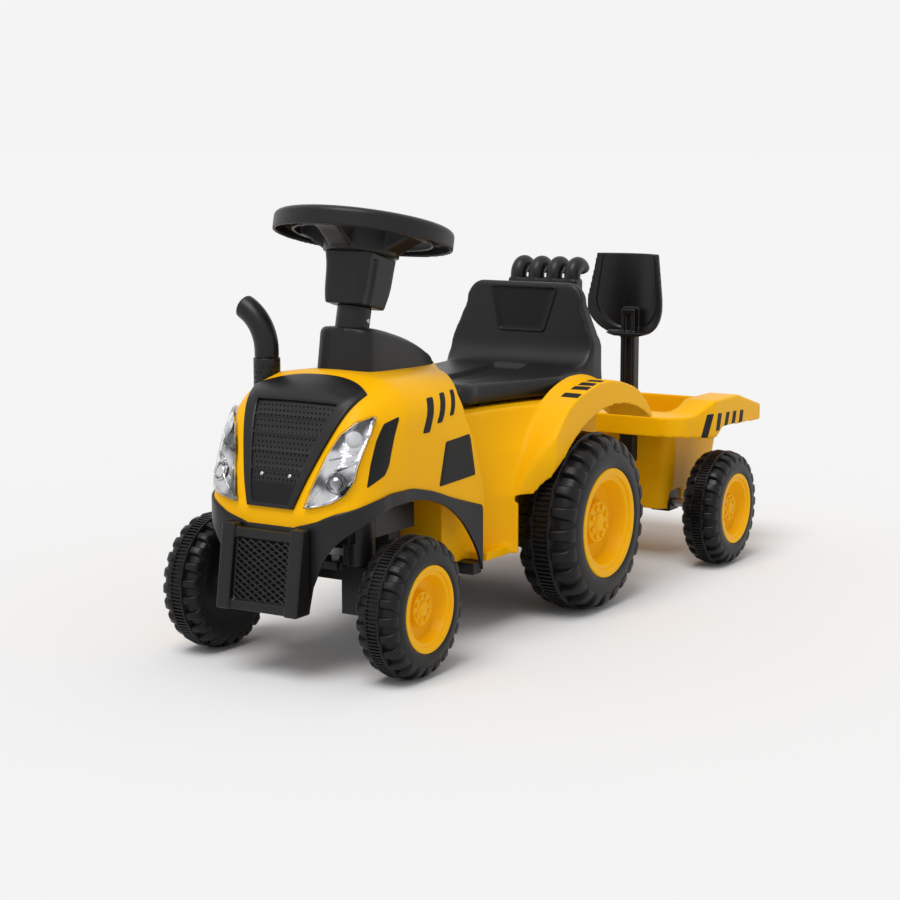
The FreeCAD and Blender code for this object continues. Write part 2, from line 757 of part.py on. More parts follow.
def make_headlamps():
    """Clear lens over a bright reflector with two round bowls, on each side of the grille."""
    front = nose_x() + s.overrun
    outline = [lamp_point(share) for share in LAMP_SHARES]
    window = prism(outline, "front", s.hood_edge_crest_x, front)
    lens = hood_loft(s.lamp_proud).common(window).cut(hood_loft(s.lamp_proud - s.lens_wall))
    reflector = hood_loft(s.reflector_proud).common(window).cut(hood_loft(0))
    bowl_skin = hood_loft(s.lamp_proud - s.lens_wall - s.seat_gap)
    for share in LAMP_BOWL_SHARES:
        y, z = lamp_point(share)
        start, end = Vector(0, y, z), Vector(front, y, z)
        ring = rod(s.lamp_bowl_radius, start, end).cut(rod(s.lamp_bowl_radius - s.lens_wall, start, end))
        reflector = reflector.fuse(bowl_skin.common(window).common(ring).cut(hood_loft(0)))
    add_piece("headlamp_lens_left", lens)
    add_piece("headlamp_reflector_left", reflector)
    add_piece("headlamp_lens_right", mirrored(lens))
    add_piece("headlamp_reflector_right", mirrored(reflector))


# Front bumper
def make_bumper():
    """Black bumper: apron below the nose, running back as a flare over each front wheel."""
    edge = hood_edge()
    arch_front_x = nose_x() - s.bumper_arch_front_set
    arch_middle_x = (s.bumper_arch_rear_x + arch_front_x) / 2
    outline = edge + [
        (edge[-1][0], s.floor_z), (s.bumper_foot_x, s.floor_z), Bow((s.bumper_bend_x, s.bumper_bend_z)),
        (s.bumper_arch_rear_x, s.bumper_arch_rear_z), Bow((arch_middle_x, s.bumper_arch_z)),
        (arch_front_x, s.bumper_arch_front_z), Bow((nose_x() - s.apron_bend_set, s.apron_bend_z)),
        (nose_x() - s.apron_foot_set, s.floor_z), (edge[0][0], s.floor_z),
    ]
    band = prism(outline, "side", -reach(), reach())
    shell = hood_loft(s.bumper_proud).cut(hood_loft(-s.wall, s.overrun))
    add_piece("front_bumper", shell.common(band).cut(hood_rear()))


def make_guard():
    """Guard in front of the apron: two leaning bars, and between them two rails round a sunk panel."""
    back = nose_x() + s.bumper_proud + s.seat_gap
    front = nose_x() + s.guard_depth
    low, high = s.floor_z, s.guard_top_z
    half = s.guard_half_width
    side = [(back, low), (front, low), (front - s.guard_lean, high), (back, high)]
    rails = [(x - s.guard_rail_set if x > back else x, z) for x, z in side]
    recessed = [(x - s.guard_recess if x > back else x, z) for x, z in side]
    inner = half - s.guard_bar_width
    bars = [prism(side, "side", inner, half), prism(side, "side", -half, -inner)]
    rail_top = high - s.guard_rail_set
    between = box(back, front, -inner, inner, low, rail_top)
    window = box(back - s.overrun, front + s.overrun, -inner, inner, low + s.guard_lip, rail_top - s.guard_lip)
    panel = prism(recessed, "side", -inner, inner).common(window)
    rail = prism(rails, "side", -inner, inner).common(between).cut(window)
    add_piece("bumper_guard", rail.fuse([panel] + bars).removeSplitter())


# Chassis floor
def column_point(along):
    """Point on the leaning steering axis, measured up from the column's foot."""
    lean = math.radians(s.column_lean)
    return Vector(s.column_x - along * math.sin(lean), 0, s.column_z + along * math.cos(lean))


def column_along(height):
    """Distance along the steering axis of a height above the ground."""
    return (height - s.column_z) / math.cos(math.radians(s.column_lean))


def column_placement():
    """Frame of the steering: its Z runs up the leaning column."""
    return Placement(column_point(0), Rotation(ACROSS, -s.column_lean))


def make_chassis():
    """Floor plate with the front steering tower, the kingpin bosses, the rear axle saddles and the hitch."""
    floor_top = s.floor_z + s.floor_thick
    half = s.floor_half_width
    hood_inner = s.hood_half_width * HOOD_STATION_SHARES[0][1] - s.wall - s.seat_gap
    solid = box(s.floor_rear_x, s.floor_front_x, -half, half, s.floor_z, floor_top)
    wing = box(s.hood_rear_x + s.seat_gap, s.bumper_foot_x, -hood_inner, hood_inner, s.floor_z, floor_top)
    leg = box(s.tower_rear_x, s.floor_front_x, -s.tower_leg_half_width, s.tower_leg_half_width,
              s.floor_z, s.tower_top_z)
    tower = box(s.tower_rear_x, s.tower_front_x, -s.tower_half_width, s.tower_half_width,
                s.tower_base_z, s.tower_top_z)
    tongue = box(s.hitch_x - s.hitch_half_width, s.floor_rear_x, -s.hitch_half_width, s.hitch_half_width,
                 s.floor_z, floor_top)
    solid = solid.fuse([wing, leg, tower, tongue])
    drawbar_top = floor_top + s.seat_gap + s.drawbar_thick
    cheek_base = drawbar_top + s.seat_gap
    cheek = box(s.hitch_x - s.hitch_half_width, s.floor_rear_x + s.floor_thick, -s.hitch_half_width,
                s.hitch_half_width, cheek_base, cheek_base + s.hitch_cheek)
    cheek_post = box(s.floor_rear_x, s.floor_rear_x + s.floor_thick, -s.hitch_half_width,
                     s.hitch_half_width, s.floor_z, cheek_base)
    solid = solid.fuse([cheek, cheek_post])
    for side in (-1, 1):
        boss_foot = Vector(s.front_axle_x, side * s.kingpin_y, s.boss_base_z)
        boss_head = Vector(s.front_axle_x, side * s.kingpin_y, s.boss_top_z)
        solid = solid.fuse(rod(s.boss_radius, boss_foot, boss_head))
        bore_foot = boss_foot - UP * s.overrun
        solid = solid.cut(rod(s.kingpin_radius + s.fit_gap, bore_foot, boss_head + UP * s.overrun))
        near, far = sorted((side * s.saddle_inner_y, side * s.floor_half_width))
        saddle = box(-s.saddle_half_length, s.saddle_half_length, near, far, s.floor_z,
                     s.rear_wheel_radius + s.saddle_half_length)
        solid = solid.fuse(saddle)
    solid = solid.cut(rear_axle_hole())
    pin_foot = Vector(s.hitch_x, 0, s.floor_z - s.overrun)
    solid = solid.cut(rod(s.hitch_pin_radius + s.fit_gap, pin_foot, pin_foot + UP * s.deck_z))
    bush_low = column_point(column_along(s.tower_base_z) - s.overrun)
    bush_high = column_point(column_along(s.tower_top_z) + s.overrun)
    solid = solid.cut(rod(s.bush_radius, bush_low, bush_high))
    add_piece("chassis_floor", solid.removeSplitter())
    bush = rod(s.bush_radius, bush_low, bush_high).cut(rod(s.shaft_radius + s.fit_gap, bush_low, bush_high))
    add_piece("column_bush", bush)


def rear_axle_hole():
    """Bore for the rear axle, right across the toy."""
    start = Vector(0, -s.rear_face_y, s.rear_wheel_radius)
    return rod(s.axle_radius + s.fit_gap, start, Vector(0, s.rear_face_y, s.rear_wheel_radius))


def boss_face_rule(face, size):
    """Expression for how far from the toy's middle a hub's boss reaches."""
    return f"(Sizes.{face}_face_y - Sizes.{size}_width * {0.5 - HUB_DISH_SHARES[-1][1]})"


def axle_caps(x, z, boss_face, sides):
    """Push-on caps at the ends of an axle, inside the hubs' pockets."""
    caps = []
    for side in sides:
        start = Vector(x, side * (boss_face - s.cap_length), z)
        end = Vector(x, side * (boss_face - s.seat_gap), z)
        cap = rod(s.cap_radius, start, end)
        caps.append(cap.cut(rod(s.axle_radius, start, end - (end - start).normalize() * s.hub_skin)))
    return caps


def add_axle(name, x, size):
    """Steel axle between two hubs, with a push-on cap at each end."""
    boss_rule = boss_face_rule(name, size)
    half_rule = f"({boss_rule} - Sizes.seat_gap - Sizes.hub_skin)"
    z = getattr(s, f"{size}_radius")
    axle = add_cylinder(f"{name}_axle", "Sizes.axle_radius", f"2 * {half_rule}")
    half = float(sheet.evalExpression(half_rule))
    axle.Placement = Placement(Vector(x, half, z), Rotation(Vector(1, 0, 0), 90.0))
    pieces.append(axle)
    boss_face = float(sheet.evalExpression(boss_rule))
    add_piece(f"{name}_axle_caps", Part.makeCompound(axle_caps(x, z, boss_face, (-1, 1))))


# Rear body
def fender_front(height):
    """Place of a fender's front face at a height, on the arc through its base, crest and tip."""
    if height <= s.fender_base_z:
        return s.fender_front_x
    back = outline_wire(fender_band(), "side", 0).Edges[0].Curve
    rise = height - back.Center.z
    return back.Center.x + math.sqrt(back.Radius ** 2 - rise ** 2)


def body_plan(grow, height):
    """Plan outline of the rear body: its waist sweeps out in a hollow curve to the front of each fender."""
    edge_x = fender_front(height) + grow
    waist, edge_y = s.waist_half_width + grow, s.waist_edge_y + grow
    middle_x = (s.waist_front_x + edge_x) / 2
    half = [
        (s.body_front_x + grow, waist), (s.waist_front_x, waist),
        Bow((middle_x - s.wall, waist + (edge_y - waist) * WAIST_HOLLOW_SHARE)), (edge_x, edge_y),
        (edge_x - s.waist_return - grow - grow, s.body_half_width + grow),
        (s.body_rear_x - grow, s.body_half_width + grow),
    ]
    return both_sides(half)


def body_loft(grow, low, high):
    """Solid of the rear body's outer form, grown by an even skin."""
    heights = [low, s.fender_base_z, (s.fender_base_z + s.deck_z) / 2, high]
    wires = [outline_wire(body_plan(grow, height), "plan", height) for height in heights]
    return Part.makeLoft(wires, True, True)


def fender_band():
    """Side outline of a fender: a round back over a lip that runs out to nothing at the rear tip."""
    return [
        (s.fender_front_x, s.fender_base_z), Bow((s.fender_crest_x, s.fender_crest_z)),
        (s.fender_tip_x, s.fender_tip_z), (s.fender_tip_x + s.wall, s.fender_tip_z - s.wall),
        Bow((s.fender_crest_x, s.fender_crest_z - s.fender_lip)),
        (s.fender_front_x - s.fender_front_lip, s.fender_base_z),
    ]


def fender_hollow():
    """Side outline of the space below a fender's sheet."""
    front_x, tip_x = s.fender_front_x - s.wall, s.fender_tip_x + s.wall
    below = s.fender_base_z - s.overrun
    return [
        (front_x, below), (front_x, s.fender_base_z), Bow((s.fender_crest_x, s.fender_crest_z - s.wall)),
        (tip_x, s.fender_tip_z - s.wall), (tip_x, below),
    ]


def fender_plan(inset, inner_y):
    """Plan outline of a fender, with its front outer corner cut off."""
    rear_x = s.fender_tip_x - s.overrun
    outer_y, front_x = s.fender_outer_y - inset, s.fender_front_x - inset
    return [(rear_x, inner_y), (rear_x, outer_y), (s.fender_corner_x - inset, outer_y),
            (front_x, s.fender_corner_y - inset), (front_x, inner_y)]


def make_fender():
    """Left fender: a round sheet over the tyre with a deep outer lip and a wall beside the seat."""
    top = s.fender_crest_z + s.overrun
    inner_y = s.body_half_width - s.wall
    seat_side = s.seat_half_width + s.seat_gap
    block = prism(fender_band(), "side", inner_y, s.fender_outer_y)
    block = block.common(prism(fender_plan(0, inner_y), "plan", 0, top))
    space = prism(fender_hollow(), "side", inner_y, s.fender_outer_y)
    above = prism(fender_plan(s.wall, seat_side + s.wall), "plan", 0, top)
    below = prism(fender_plan(s.wall, s.body_half_width), "plan", 0, s.deck_z - s.wall)
    seat_space = box(s.fender_tip_x - s.overrun, s.fender_front_x, 0, seat_side, s.deck_z, top)
    return block.cut([space.common(above), space.common(below), seat_space])


def make_rear_body():
    """Rear body: a shell open below, with the seat deck, foot steps and both fenders in one moulding."""
    floor_top = s.floor_z + s.floor_thick
    shell = body_loft(0, floor_top, s.deck_z)
    step = box(s.waist_x, s.step_front_x, s.waist_half_width - s.wall, s.step_half_width,
               floor_top, floor_top + s.step_height)
    post = box(s.waist_x - s.step_post, s.waist_x, s.body_half_width - s.wall, s.waist_edge_y + s.wall,
               floor_top, floor_top + s.step_post_height)
    left = [step, post, make_fender()]
    shell = shell.fuse(left + [mirrored(piece) for piece in left])
    shell = shell.cut(body_loft(-s.wall, floor_top - s.overrun, s.deck_z - s.wall))
    opening = box(s.bin_rear_x - s.seat_gap, s.bin_front_x + s.seat_gap, -s.bin_half_width - s.seat_gap,
                  s.bin_half_width + s.seat_gap, s.bin_floor_z, s.deck_z + s.overrun)
    cheek = box(s.hitch_x, s.floor_rear_x + s.floor_thick + s.seat_gap, -s.hitch_half_width - s.seat_gap,
                s.hitch_half_width + s.seat_gap, floor_top - s.overrun, s.rear_wheel_radius + s.hitch_cheek)
    shell = shell.cut([opening, rear_axle_hole(), cheek])
    for knuckle_y in (-s.seat_hinge_y, s.seat_hinge_y):
        shell = shell.fuse(hinge_lug(knuckle_y))
    add_piece("rear_body", shell.removeSplitter())


def hinge_axis():
    """Point on the seat's hinge axis, behind the foot of the backrest."""
    return Vector(s.seat_rear_x - s.seat_hinge_offset, 0, s.deck_z + s.wall + s.seat_gap + s.seat_hinge_rise)


def hinge_lug(middle_y):
    """Pair of lugs on the deck that hold one end of the hinge pin."""
    axis = hinge_axis()
    half = s.hinge_knuckle_length / 2
    lugs = []
    for side in (-1, 1):
        near = middle_y + side * (half + s.seat_gap)
        far = near + side * s.wall
        low, high = sorted((near, far))
        post = box(axis.x - s.hinge_knuckle_radius, axis.x + s.hinge_knuckle_radius, low, high,
                   s.deck_z - s.wall, axis.z)
        start, end = Vector(axis.x, low, axis.z), Vector(axis.x, high, axis.z)
        lug = post.fuse(rod(s.hinge_knuckle_radius, start, end))
        lugs.append(lug.cut(rod(s.hinge_pin_radius, start, end)))
    shelf_half = half + s.wall + s.seat_gap
    shelf = box(axis.x - s.hinge_knuckle_radius, s.body_rear_x + s.wall, middle_y - shelf_half,
                middle_y + shelf_half, s.deck_z - s.wall, s.deck_z)
    return lugs[0].fuse([lugs[1], shelf])


def make_bin():
    """Storage bin that hangs by its flange in the deck, below the seat."""
    flange = box(s.bin_rear_x - s.bin_flange, s.bin_front_x + s.bin_flange, -s.bin_half_width - s.bin_flange,
                 s.bin_half_width + s.bin_flange, s.deck_z, s.deck_z + s.wall)
    tub = box(s.bin_rear_x, s.bin_front_x, -s.bin_half_width, s.bin_half_width, s.bin_floor_z, s.deck_z)
    inside = box(s.bin_rear_x + s.wall, s.bin_front_x - s.wall, -s.bin_half_width + s.wall,
                 s.bin_half_width - s.wall, s.bin_floor_z + s.wall, s.deck_z + s.overrun)
    add_piece("storage_bin", flange.fuse(tub).cut(inside).removeSplitter())


# Seat
def seat_base():
    """Height of the seat's lower face, just above the bin's flange."""
    return s.deck_z + s.wall + s.seat_gap


def seat_plan(inset):
    """Plan outline of the seat's pan, narrow at the front."""
    front, nose, half = s.seat_front_x - inset, s.seat_nose_half - inset, s.seat_half_width - inset
    return both_sides([
        (front, nose - s.seat_back_thick), Bow((front - s.wall, nose - s.overrun)),
        (front - s.seat_back_thick, nose), Bow((s.seat_front_x - s.seat_half_width, (nose + half) / 2)),
        (0, half), (s.seat_rear_x, half),
    ])


def seat_back_outline(inset):
    """Front outline of the backrest, tapered to its round top corners."""
    base = seat_base()
    half, top_half = s.seat_half_width - inset, s.seat_back_top_half - inset
    back_top = s.seat_back_top_z - inset
    return front_both_sides([
        (half, base), (half, base + s.seat_pan_thick + s.seat_pan_thick - inset),
        (top_half + s.wall, back_top - s.seat_back_thick),
        Bow((top_half - s.wall, back_top - s.overrun)), (top_half - s.seat_back_thick, back_top),
    ])


def seat_form():
    """Pan and backrest with round edges, each lofted through outlines that draw in towards its face."""
    base = seat_base()
    top = base + s.seat_pan_thick
    back_front = s.seat_rear_x + s.seat_back_thick
    pan = [outline_wire(seat_plan(0), "plan", base)]
    back = [outline_wire(seat_back_outline(s.wall), "front", s.seat_rear_x),
            outline_wire(seat_back_outline(0), "front", s.seat_rear_x + s.wall)]
    for depth, draw in reversed(SEAT_EDGE_SHARES):
        pan.append(outline_wire(seat_plan(draw * s.seat_edge), "plan", top - depth * s.seat_edge))
        front_x = back_front + s.seat_pan_thick - depth * s.seat_pan_thick
        back.append(outline_wire(seat_back_outline(draw * s.seat_edge), "front", front_x))
    return Part.makeLoft(pan, True, True).fuse(Part.makeLoft(back, True, True))


def make_seat():
    """Saddle seat and backrest in one moulding, with a finger notch at the front and two hinge knuckles."""
    base = seat_base()
    top = base + s.seat_pan_thick
    rear = s.seat_rear_x
    back_front = rear + s.seat_back_thick
    back_top = s.seat_back_top_z
    dip = s.wall
    lean = s.seat_back_thick / 2
    side = [
        (s.seat_front_x, base), (s.seat_front_x, top - s.overrun),
        Bow((s.seat_front_x - dip, top - dip)), (s.seat_front_x - s.overrun - dip, top),
        Bow((0, top - dip)), (back_front + s.seat_pan_thick, top),
        Bow((back_front + s.overrun, top + s.seat_pan_thick / 2)),
        (back_front, top + s.seat_pan_thick + s.overrun),
        (rear + lean + s.overrun, back_top - s.overrun), Bow((rear + lean, back_top)),
        (rear + s.overrun, back_top - s.overrun), (rear, base),
    ]
    half, nose = s.seat_half_width, s.seat_nose_half
    seat = prism(side, "side", -half, half).common(seat_form())
    notch = [(s.seat_front_x + s.overrun, s.seat_notch_half), (s.seat_front_x - s.seat_notch_depth, 0),
             (s.seat_front_x + s.overrun, -s.seat_notch_half)]
    seat = seat.cut(prism(notch, "plan", base - s.overrun, back_top))
    hollow_front = s.seat_front_x - s.seat_notch_depth - s.overrun
    hollow = box(back_front + s.wall, hollow_front, -nose, nose, base - s.overrun, top - s.overrun - s.wall)
    seat = seat.cut(hollow)
    axis = hinge_axis()
    half_knuckle = s.hinge_knuckle_length / 2
    for middle_y in (-s.seat_hinge_y, s.seat_hinge_y):
        start = Vector(axis.x, middle_y - half_knuckle, axis.z)
        end = Vector(axis.x, middle_y + half_knuckle, axis.z)
        arm = box(axis.x, rear + s.wall, start.y, end.y, axis.z, axis.z + s.hinge_knuckle_radius)
        seat = seat.fuse([rod(s.hinge_knuckle_radius, start, end), arm])
        seat = seat.cut(rod(s.hinge_pin_radius + s.fit_gap, start, end))
    add_piece("seat", seat.removeSplitter())
    pins = []
    reach_y = half_knuckle + s.seat_gap + s.wall
    for middle_y in (-s.seat_hinge_y, s.seat_hinge_y):
        pins.append(rod(s.hinge_pin_radius, Vector(axis.x, middle_y - reach_y, axis.z),
                        Vector(axis.x, middle_y + reach_y, axis.z)))
    add_piece("seat_hinge_pins", Part.makeCompound(pins))


# Dash cowl and exhaust
def make_cowl():
    """Wedge-shaped cowl on the hood that the steering column comes out of."""
    front, tip = s.cowl_front_x, s.cowl_tip_x
    half = s.cowl_half_width
    round_share = math.sqrt(0.5)
    plan = both_sides([
        (front, s.wall), Bow((front - half + half * round_share, half * round_share)), (front - half, half),
        (s.column_x, half), Bow(((s.column_x + tip) / 2, half * COWL_WAIST_SHARE)), (tip, s.wall),
    ])
    side = [
        (front, s.cowl_base_z), (front - s.wall, s.cowl_top_z - s.wall), (front - s.overrun, s.cowl_top_z),
        (s.column_x - s.column_radius - s.wall, s.cowl_top_z),
        Bow(((s.column_x + tip) / 2, (s.cowl_top_z + s.cowl_tip_z) / 2 + s.overrun)),
        (tip, s.cowl_tip_z), (tip, s.cowl_base_z),
    ]
    cowl = prism(plan, "plan", s.cowl_base_z, s.cowl_top_z).common(prism(side, "side", -half, half))
    hole_foot = column_point(-s.column_sink - s.overrun)
    hole = rod(s.column_radius + s.slack_gap, hole_foot, column_point(s.column_length))
    add_piece("dash_cowl", cowl.cut([hood_loft(0, tail_length()), hole, shaft_hole()]))


def make_exhaust():
    """Exhaust can on the hood's right shoulder, with a pipe that bends outward and is open at its end."""
    foot = Vector(s.exhaust_x, s.exhaust_y, s.exhaust_base_z)
    can_top = Vector(s.exhaust_x, s.exhaust_y, s.exhaust_can_top_z)
    can = rod(s.exhaust_can_radius, foot, can_top).cut(hood_loft(0))
    add_piece("exhaust_can", can)
    bend_start = can_top + UP * s.exhaust_rise
    turn = math.radians(s.exhaust_bend_angle)
    radius = s.exhaust_bend_radius
    half_turn = turn / 2
    middle = bend_start + Vector(0, -radius * (1 - math.cos(half_turn)), radius * math.sin(half_turn))
    end = bend_start + Vector(0, -radius * (1 - math.cos(turn)), radius * math.sin(turn))
    straight = Part.LineSegment(can_top, bend_start).toShape()
    path = Part.Wire([straight, Part.Arc(bend_start, middle, end).toShape()])
    outer = Part.Wire(Part.Circle(can_top, UP, s.exhaust_pipe_radius).toShape())
    pipe = path.makePipeShell([outer], True, False)
    outward = Vector(0, -math.sin(turn), math.cos(turn))
    bore_radius = s.exhaust_pipe_radius - s.exhaust_pipe_wall
    bore = rod(bore_radius, end - outward * s.exhaust_rise, end + outward * s.overrun)
    add_piece("exhaust_pipe", pipe.cut(bore))


# Steering
def make_steering():
    """Steering wheel, hub, column and shaft with its crank, built upright and leaned back together."""
    lean = column_placement()
    tube = Part.makeCylinder(s.column_radius, s.column_length + s.column_sink, Vector(0, 0, -s.column_sink))
    shaft_bore = Part.makeCylinder(s.shaft_radius, s.rim_base * 2, Vector(0, 0, -s.rim_base))
    add_piece("column_tube", tube.cut(shaft_bore), lean)
    hub_base = s.column_length
    hub_top = hub_base + s.hub_length
    low_half, high_half = s.hub_base_half, s.hub_top_half
    hub = Part.makeLoft([rounded_box(low_half, low_half, s.hub_corner, hub_base),
                         rounded_box(high_half, high_half, s.hub_corner, hub_top)], True, True)
    groove_half, low, high = s.hub_corner / 2, hub_base - s.overrun, hub_top - s.overrun
    groove = Part.makeLoft([rounded_box(groove_half, low_half + low_half, s.wall / 2, low),
                            rounded_box(groove_half, high_half + high_half, s.wall / 2, high)], True, True)
    core = Part.makeLoft([rounded_box(low_half - s.wall, low_half - s.wall, s.wall, low),
                          rounded_box(high_half - s.wall, high_half - s.wall, s.wall, hub_top)], True, True)
    groove.translate(Vector(low_half * HUB_GROOVE_SHARE, 0, 0))
    hub = hub.cut(groove.cut(core)).cut(shaft_bore)
    add_piece("steering_hub", hub, lean)
    make_wheel_rim(hub_top, lean)
    foot = column_along(s.shaft_foot_z)
    shaft = Part.makeCylinder(s.shaft_radius, hub_top - foot, Vector(0, 0, foot))
    crank = box(-s.crank_length - s.crank_width / 2, s.shaft_radius, -s.crank_width / 2, s.crank_width / 2,
                foot, foot + s.crank_thick)
    pin = Part.makeCylinder(s.link_pin_radius, s.link_pin_length + s.crank_thick,
                            Vector(-s.crank_length, 0, foot - s.link_pin_length))
    add_piece("steering_shaft", shaft.fuse([crank, pin]).removeSplitter(), lean)


def make_wheel_rim(hub_top, lean):
    """Hollow round rim, three spokes and the middle pad with its button holes."""
    low = s.rim_base
    high = low + s.rim_height
    outer, inner = s.rim_radius, s.rim_radius - s.rim_depth
    crown = (outer + inner) / 2
    shoulder, round_z = high - s.overrun - s.wall, high - s.wall / 2
    round_half = s.rim_depth * RIM_ROUND_SHARE
    section = [(outer, low), (outer, shoulder), Bow((crown + round_half, round_z)),
               (crown, high), Bow((crown - round_half, round_z)),
               (inner, shoulder), (inner, low + s.wall),
               (inner + s.wall, low + s.wall), (inner + s.wall, shoulder - s.wall),
               (outer - s.wall, shoulder - s.wall), (outer - s.wall, low)]
    ring = Part.Face(outline_wire(section, "side", 0)).revolve(ORIGIN, UP, 360)
    pad_top = hub_top + s.pad_height
    pad = Part.makeCylinder(s.pad_radius, s.pad_height, Vector(0, 0, hub_top))
    spokes = []
    spoke_low = low + s.wall + s.wall
    spoke_side = [(s.pad_radius - s.overrun, hub_top), (inner + s.wall / 2, spoke_low),
                  (inner + s.wall / 2, spoke_low + s.spoke_height),
                  (s.pad_radius - s.overrun, spoke_low + s.spoke_height)]
    for turn in (0, 90, 270):
        spoke = prism(spoke_side, "side", -s.spoke_width / 2, s.spoke_width / 2)
        spoke.rotate(ORIGIN, UP, turn)
        spokes.append(spoke)
    wheel = ring.fuse([pad] + spokes)
    buttons = (("horn_button", s.horn_radius, 0.0), ("melody_button_left", s.melody_radius, s.melody_y),
               ("melody_button_right", s.melody_radius, -s.melody_y))
    for label, radius, y in buttons:
        button_low = pad_top + s.button_proud - s.button_height
        pocket = Part.makeCylinder(radius + s.fit_gap, s.button_height + s.button_travel + s.overrun,
                                   Vector(0, y, button_low - s.button_travel - s.seat_gap))
        wheel = wheel.cut(pocket)
        add_piece(label, Part.makeCylinder(radius, s.button_height, Vector(0, y, button_low)), lean)
    add_piece("steering_wheel", wheel.removeSplitter(), lean)


def make_knuckles():
    """Front knuckles with kingpin, stub axle and steering arm, and the tie rod between the arms."""
    x, y, z = s.front_axle_x, s.kingpin_y, s.small_wheel_radius
    half = s.knuckle_half
    block = box(x - half, x + half, y - half, y + half, s.knuckle_base_z, s.boss_base_z - s.seat_gap)
    kingpin = rod(s.kingpin_radius, Vector(x, y, s.boss_base_z - s.overrun), Vector(x, y, s.boss_top_z))
    arm = box(x - s.arm_length - s.arm_half_width, x, y - s.arm_half_width, y + s.arm_half_width,
              s.arm_top_z - s.arm_thick, s.arm_top_z)
    pin_foot = Vector(x - s.arm_length, y, s.arm_top_z - s.wall)
    pin = rod(s.link_pin_radius, pin_foot, pin_foot + UP * (s.tie_rod_thick + s.wall + s.wall))
    boss_face = float(sheet.evalExpression(boss_face_rule("front", "small_wheel")))
    stub_start = Vector(x, y - half, z)
    stub_end = Vector(x, boss_face - s.seat_gap - s.hub_skin, z)
    stub = rod(s.axle_radius, stub_start, stub_end)
    knuckle = block.fuse([kingpin, arm, pin]).cut(rod(s.axle_radius, stub_start, stub_end)).removeSplitter()
    cap = axle_caps(x, z, boss_face, (1,))[0]
    for name, shape in (("knuckle", knuckle), ("stub_axle", stub), ("front_axle_cap", cap)):
        add_piece(f"{name}_left", shape)
        add_piece(f"{name}_right", mirrored(shape))
    make_tie_rod(x - s.arm_length, y)


def slot(middle_x, middle_y, length, radius, low, high):
    """Upright slot that lies along X."""
    rear_x, front_x = middle_x - length / 2, middle_x + length / 2
    ends = [rod(radius, Vector(x, middle_y, low), Vector(x, middle_y, high)) for x in (rear_x, front_x)]
    return box(rear_x, front_x, middle_y - radius, middle_y + radius, low, high).fuse(ends)


def make_tie_rod(rod_x, pin_y):
    """Flat tie rod that lies on both steering arms, with a slot for the crank's pin in its middle lobe."""
    low = s.arm_top_z + s.seat_gap
    high = low + s.tie_rod_thick
    half = s.tie_rod_half_width
    bar = box(rod_x - half, rod_x + half, -pin_y - half, pin_y + half, low, high)
    lobe = box(rod_x - half - s.overrun, rod_x + half + s.wall, -s.tie_rod_lobe, s.tie_rod_lobe, low, high)
    tie = bar.fuse(lobe)
    hole_radius = s.link_pin_radius + s.slack_gap
    for side in (-1, 1):
        tie = tie.cut(slot(rod_x + s.tie_slot_play / 2, side * pin_y, s.tie_slot_play, hole_radius,
                           low - s.overrun, high + s.overrun))
    tie = tie.cut(slot(rod_x - s.crank_slot_offset, 0, s.crank_slot_play, hole_radius,
                       low - s.overrun, high + s.overrun))
    add_piece("tie_rod", tie.removeSplitter())


# Trailer
def rim_plan(inset):
    """Plan outline of the trailer's rim: round front corners, widest over the wheels."""
    front = s.trailer_front_x - inset
    rear = s.trailer_tail_x + inset
    corner = s.trailer_rim_corner
    cut = corner * (1 - math.sqrt(0.5))
    half = [
        (front, s.trailer_rim_half - inset - corner), Bow((front - cut, s.trailer_rim_half - inset - cut)),
        (front - corner, s.trailer_rim_half - inset), (s.trailer_axle_x, s.trailer_wing_half - inset),
        (rear, s.trailer_wing_half - inset),
    ]
    return both_sides(half)


def rim_profile(drop, base_z):
    """Side outline of the rim's top, lowered by a skin, down to a given height."""
    front = s.trailer_front_x + s.overrun
    rear = s.trailer_tail_x - s.overrun
    crest_front = s.trailer_axle_x
    crest_rear = (s.trailer_axle_x + s.trailer_tail_x) / 2
    return [
        (front, s.trailer_rim_z - drop), (s.tub_front_x, s.trailer_rim_z - drop),
        (crest_front, s.trailer_crest_z - drop), (crest_rear, s.trailer_crest_z - drop),
        (rear, s.trailer_tail_z - drop), (rear, base_z), (front, base_z),
    ]


def rim_sweep(band_low):
    """Space below the rim's folded band, whose lower edge dips in front of the wheels and rises over them."""
    length = s.trailer_front_x - s.trailer_tail_x
    edge = [(s.trailer_front_x - along * length, band_low - dip * s.trailer_rim_band)
            for along, dip in RIM_EDGE_SHARES]
    front, rear = s.trailer_front_x + s.overrun, s.trailer_tail_x - s.overrun
    outline = [(front, edge[0][1]), *edge, (rear, edge[-1][1]), (rear, 0), (front, 0)]
    return prism(outline, "side", -s.trailer_wing_half - s.overrun, s.trailer_wing_half + s.overrun)


def tub_loft(inset, low, high):
    """Tub form with drafted walls and round corners."""
    middle_x = (s.tub_front_x + s.tub_rear_x) / 2
    half_x = (s.tub_front_x - s.tub_rear_x) / 2 - inset
    span = s.trailer_crest_z - s.tub_base_z
    wires = []
    for height in (low, high):
        share = (height - s.tub_base_z) / span
        half_y = s.tub_half_width - inset - s.tub_draft_y * (1 - share)
        wire = rounded_box(half_x - s.tub_draft_x * (1 - share), half_y, s.tub_corner - inset, height)
        wire.translate(Vector(middle_x, 0, 0))
        wires.append(wire)
    return Part.makeLoft(wires, True, True)


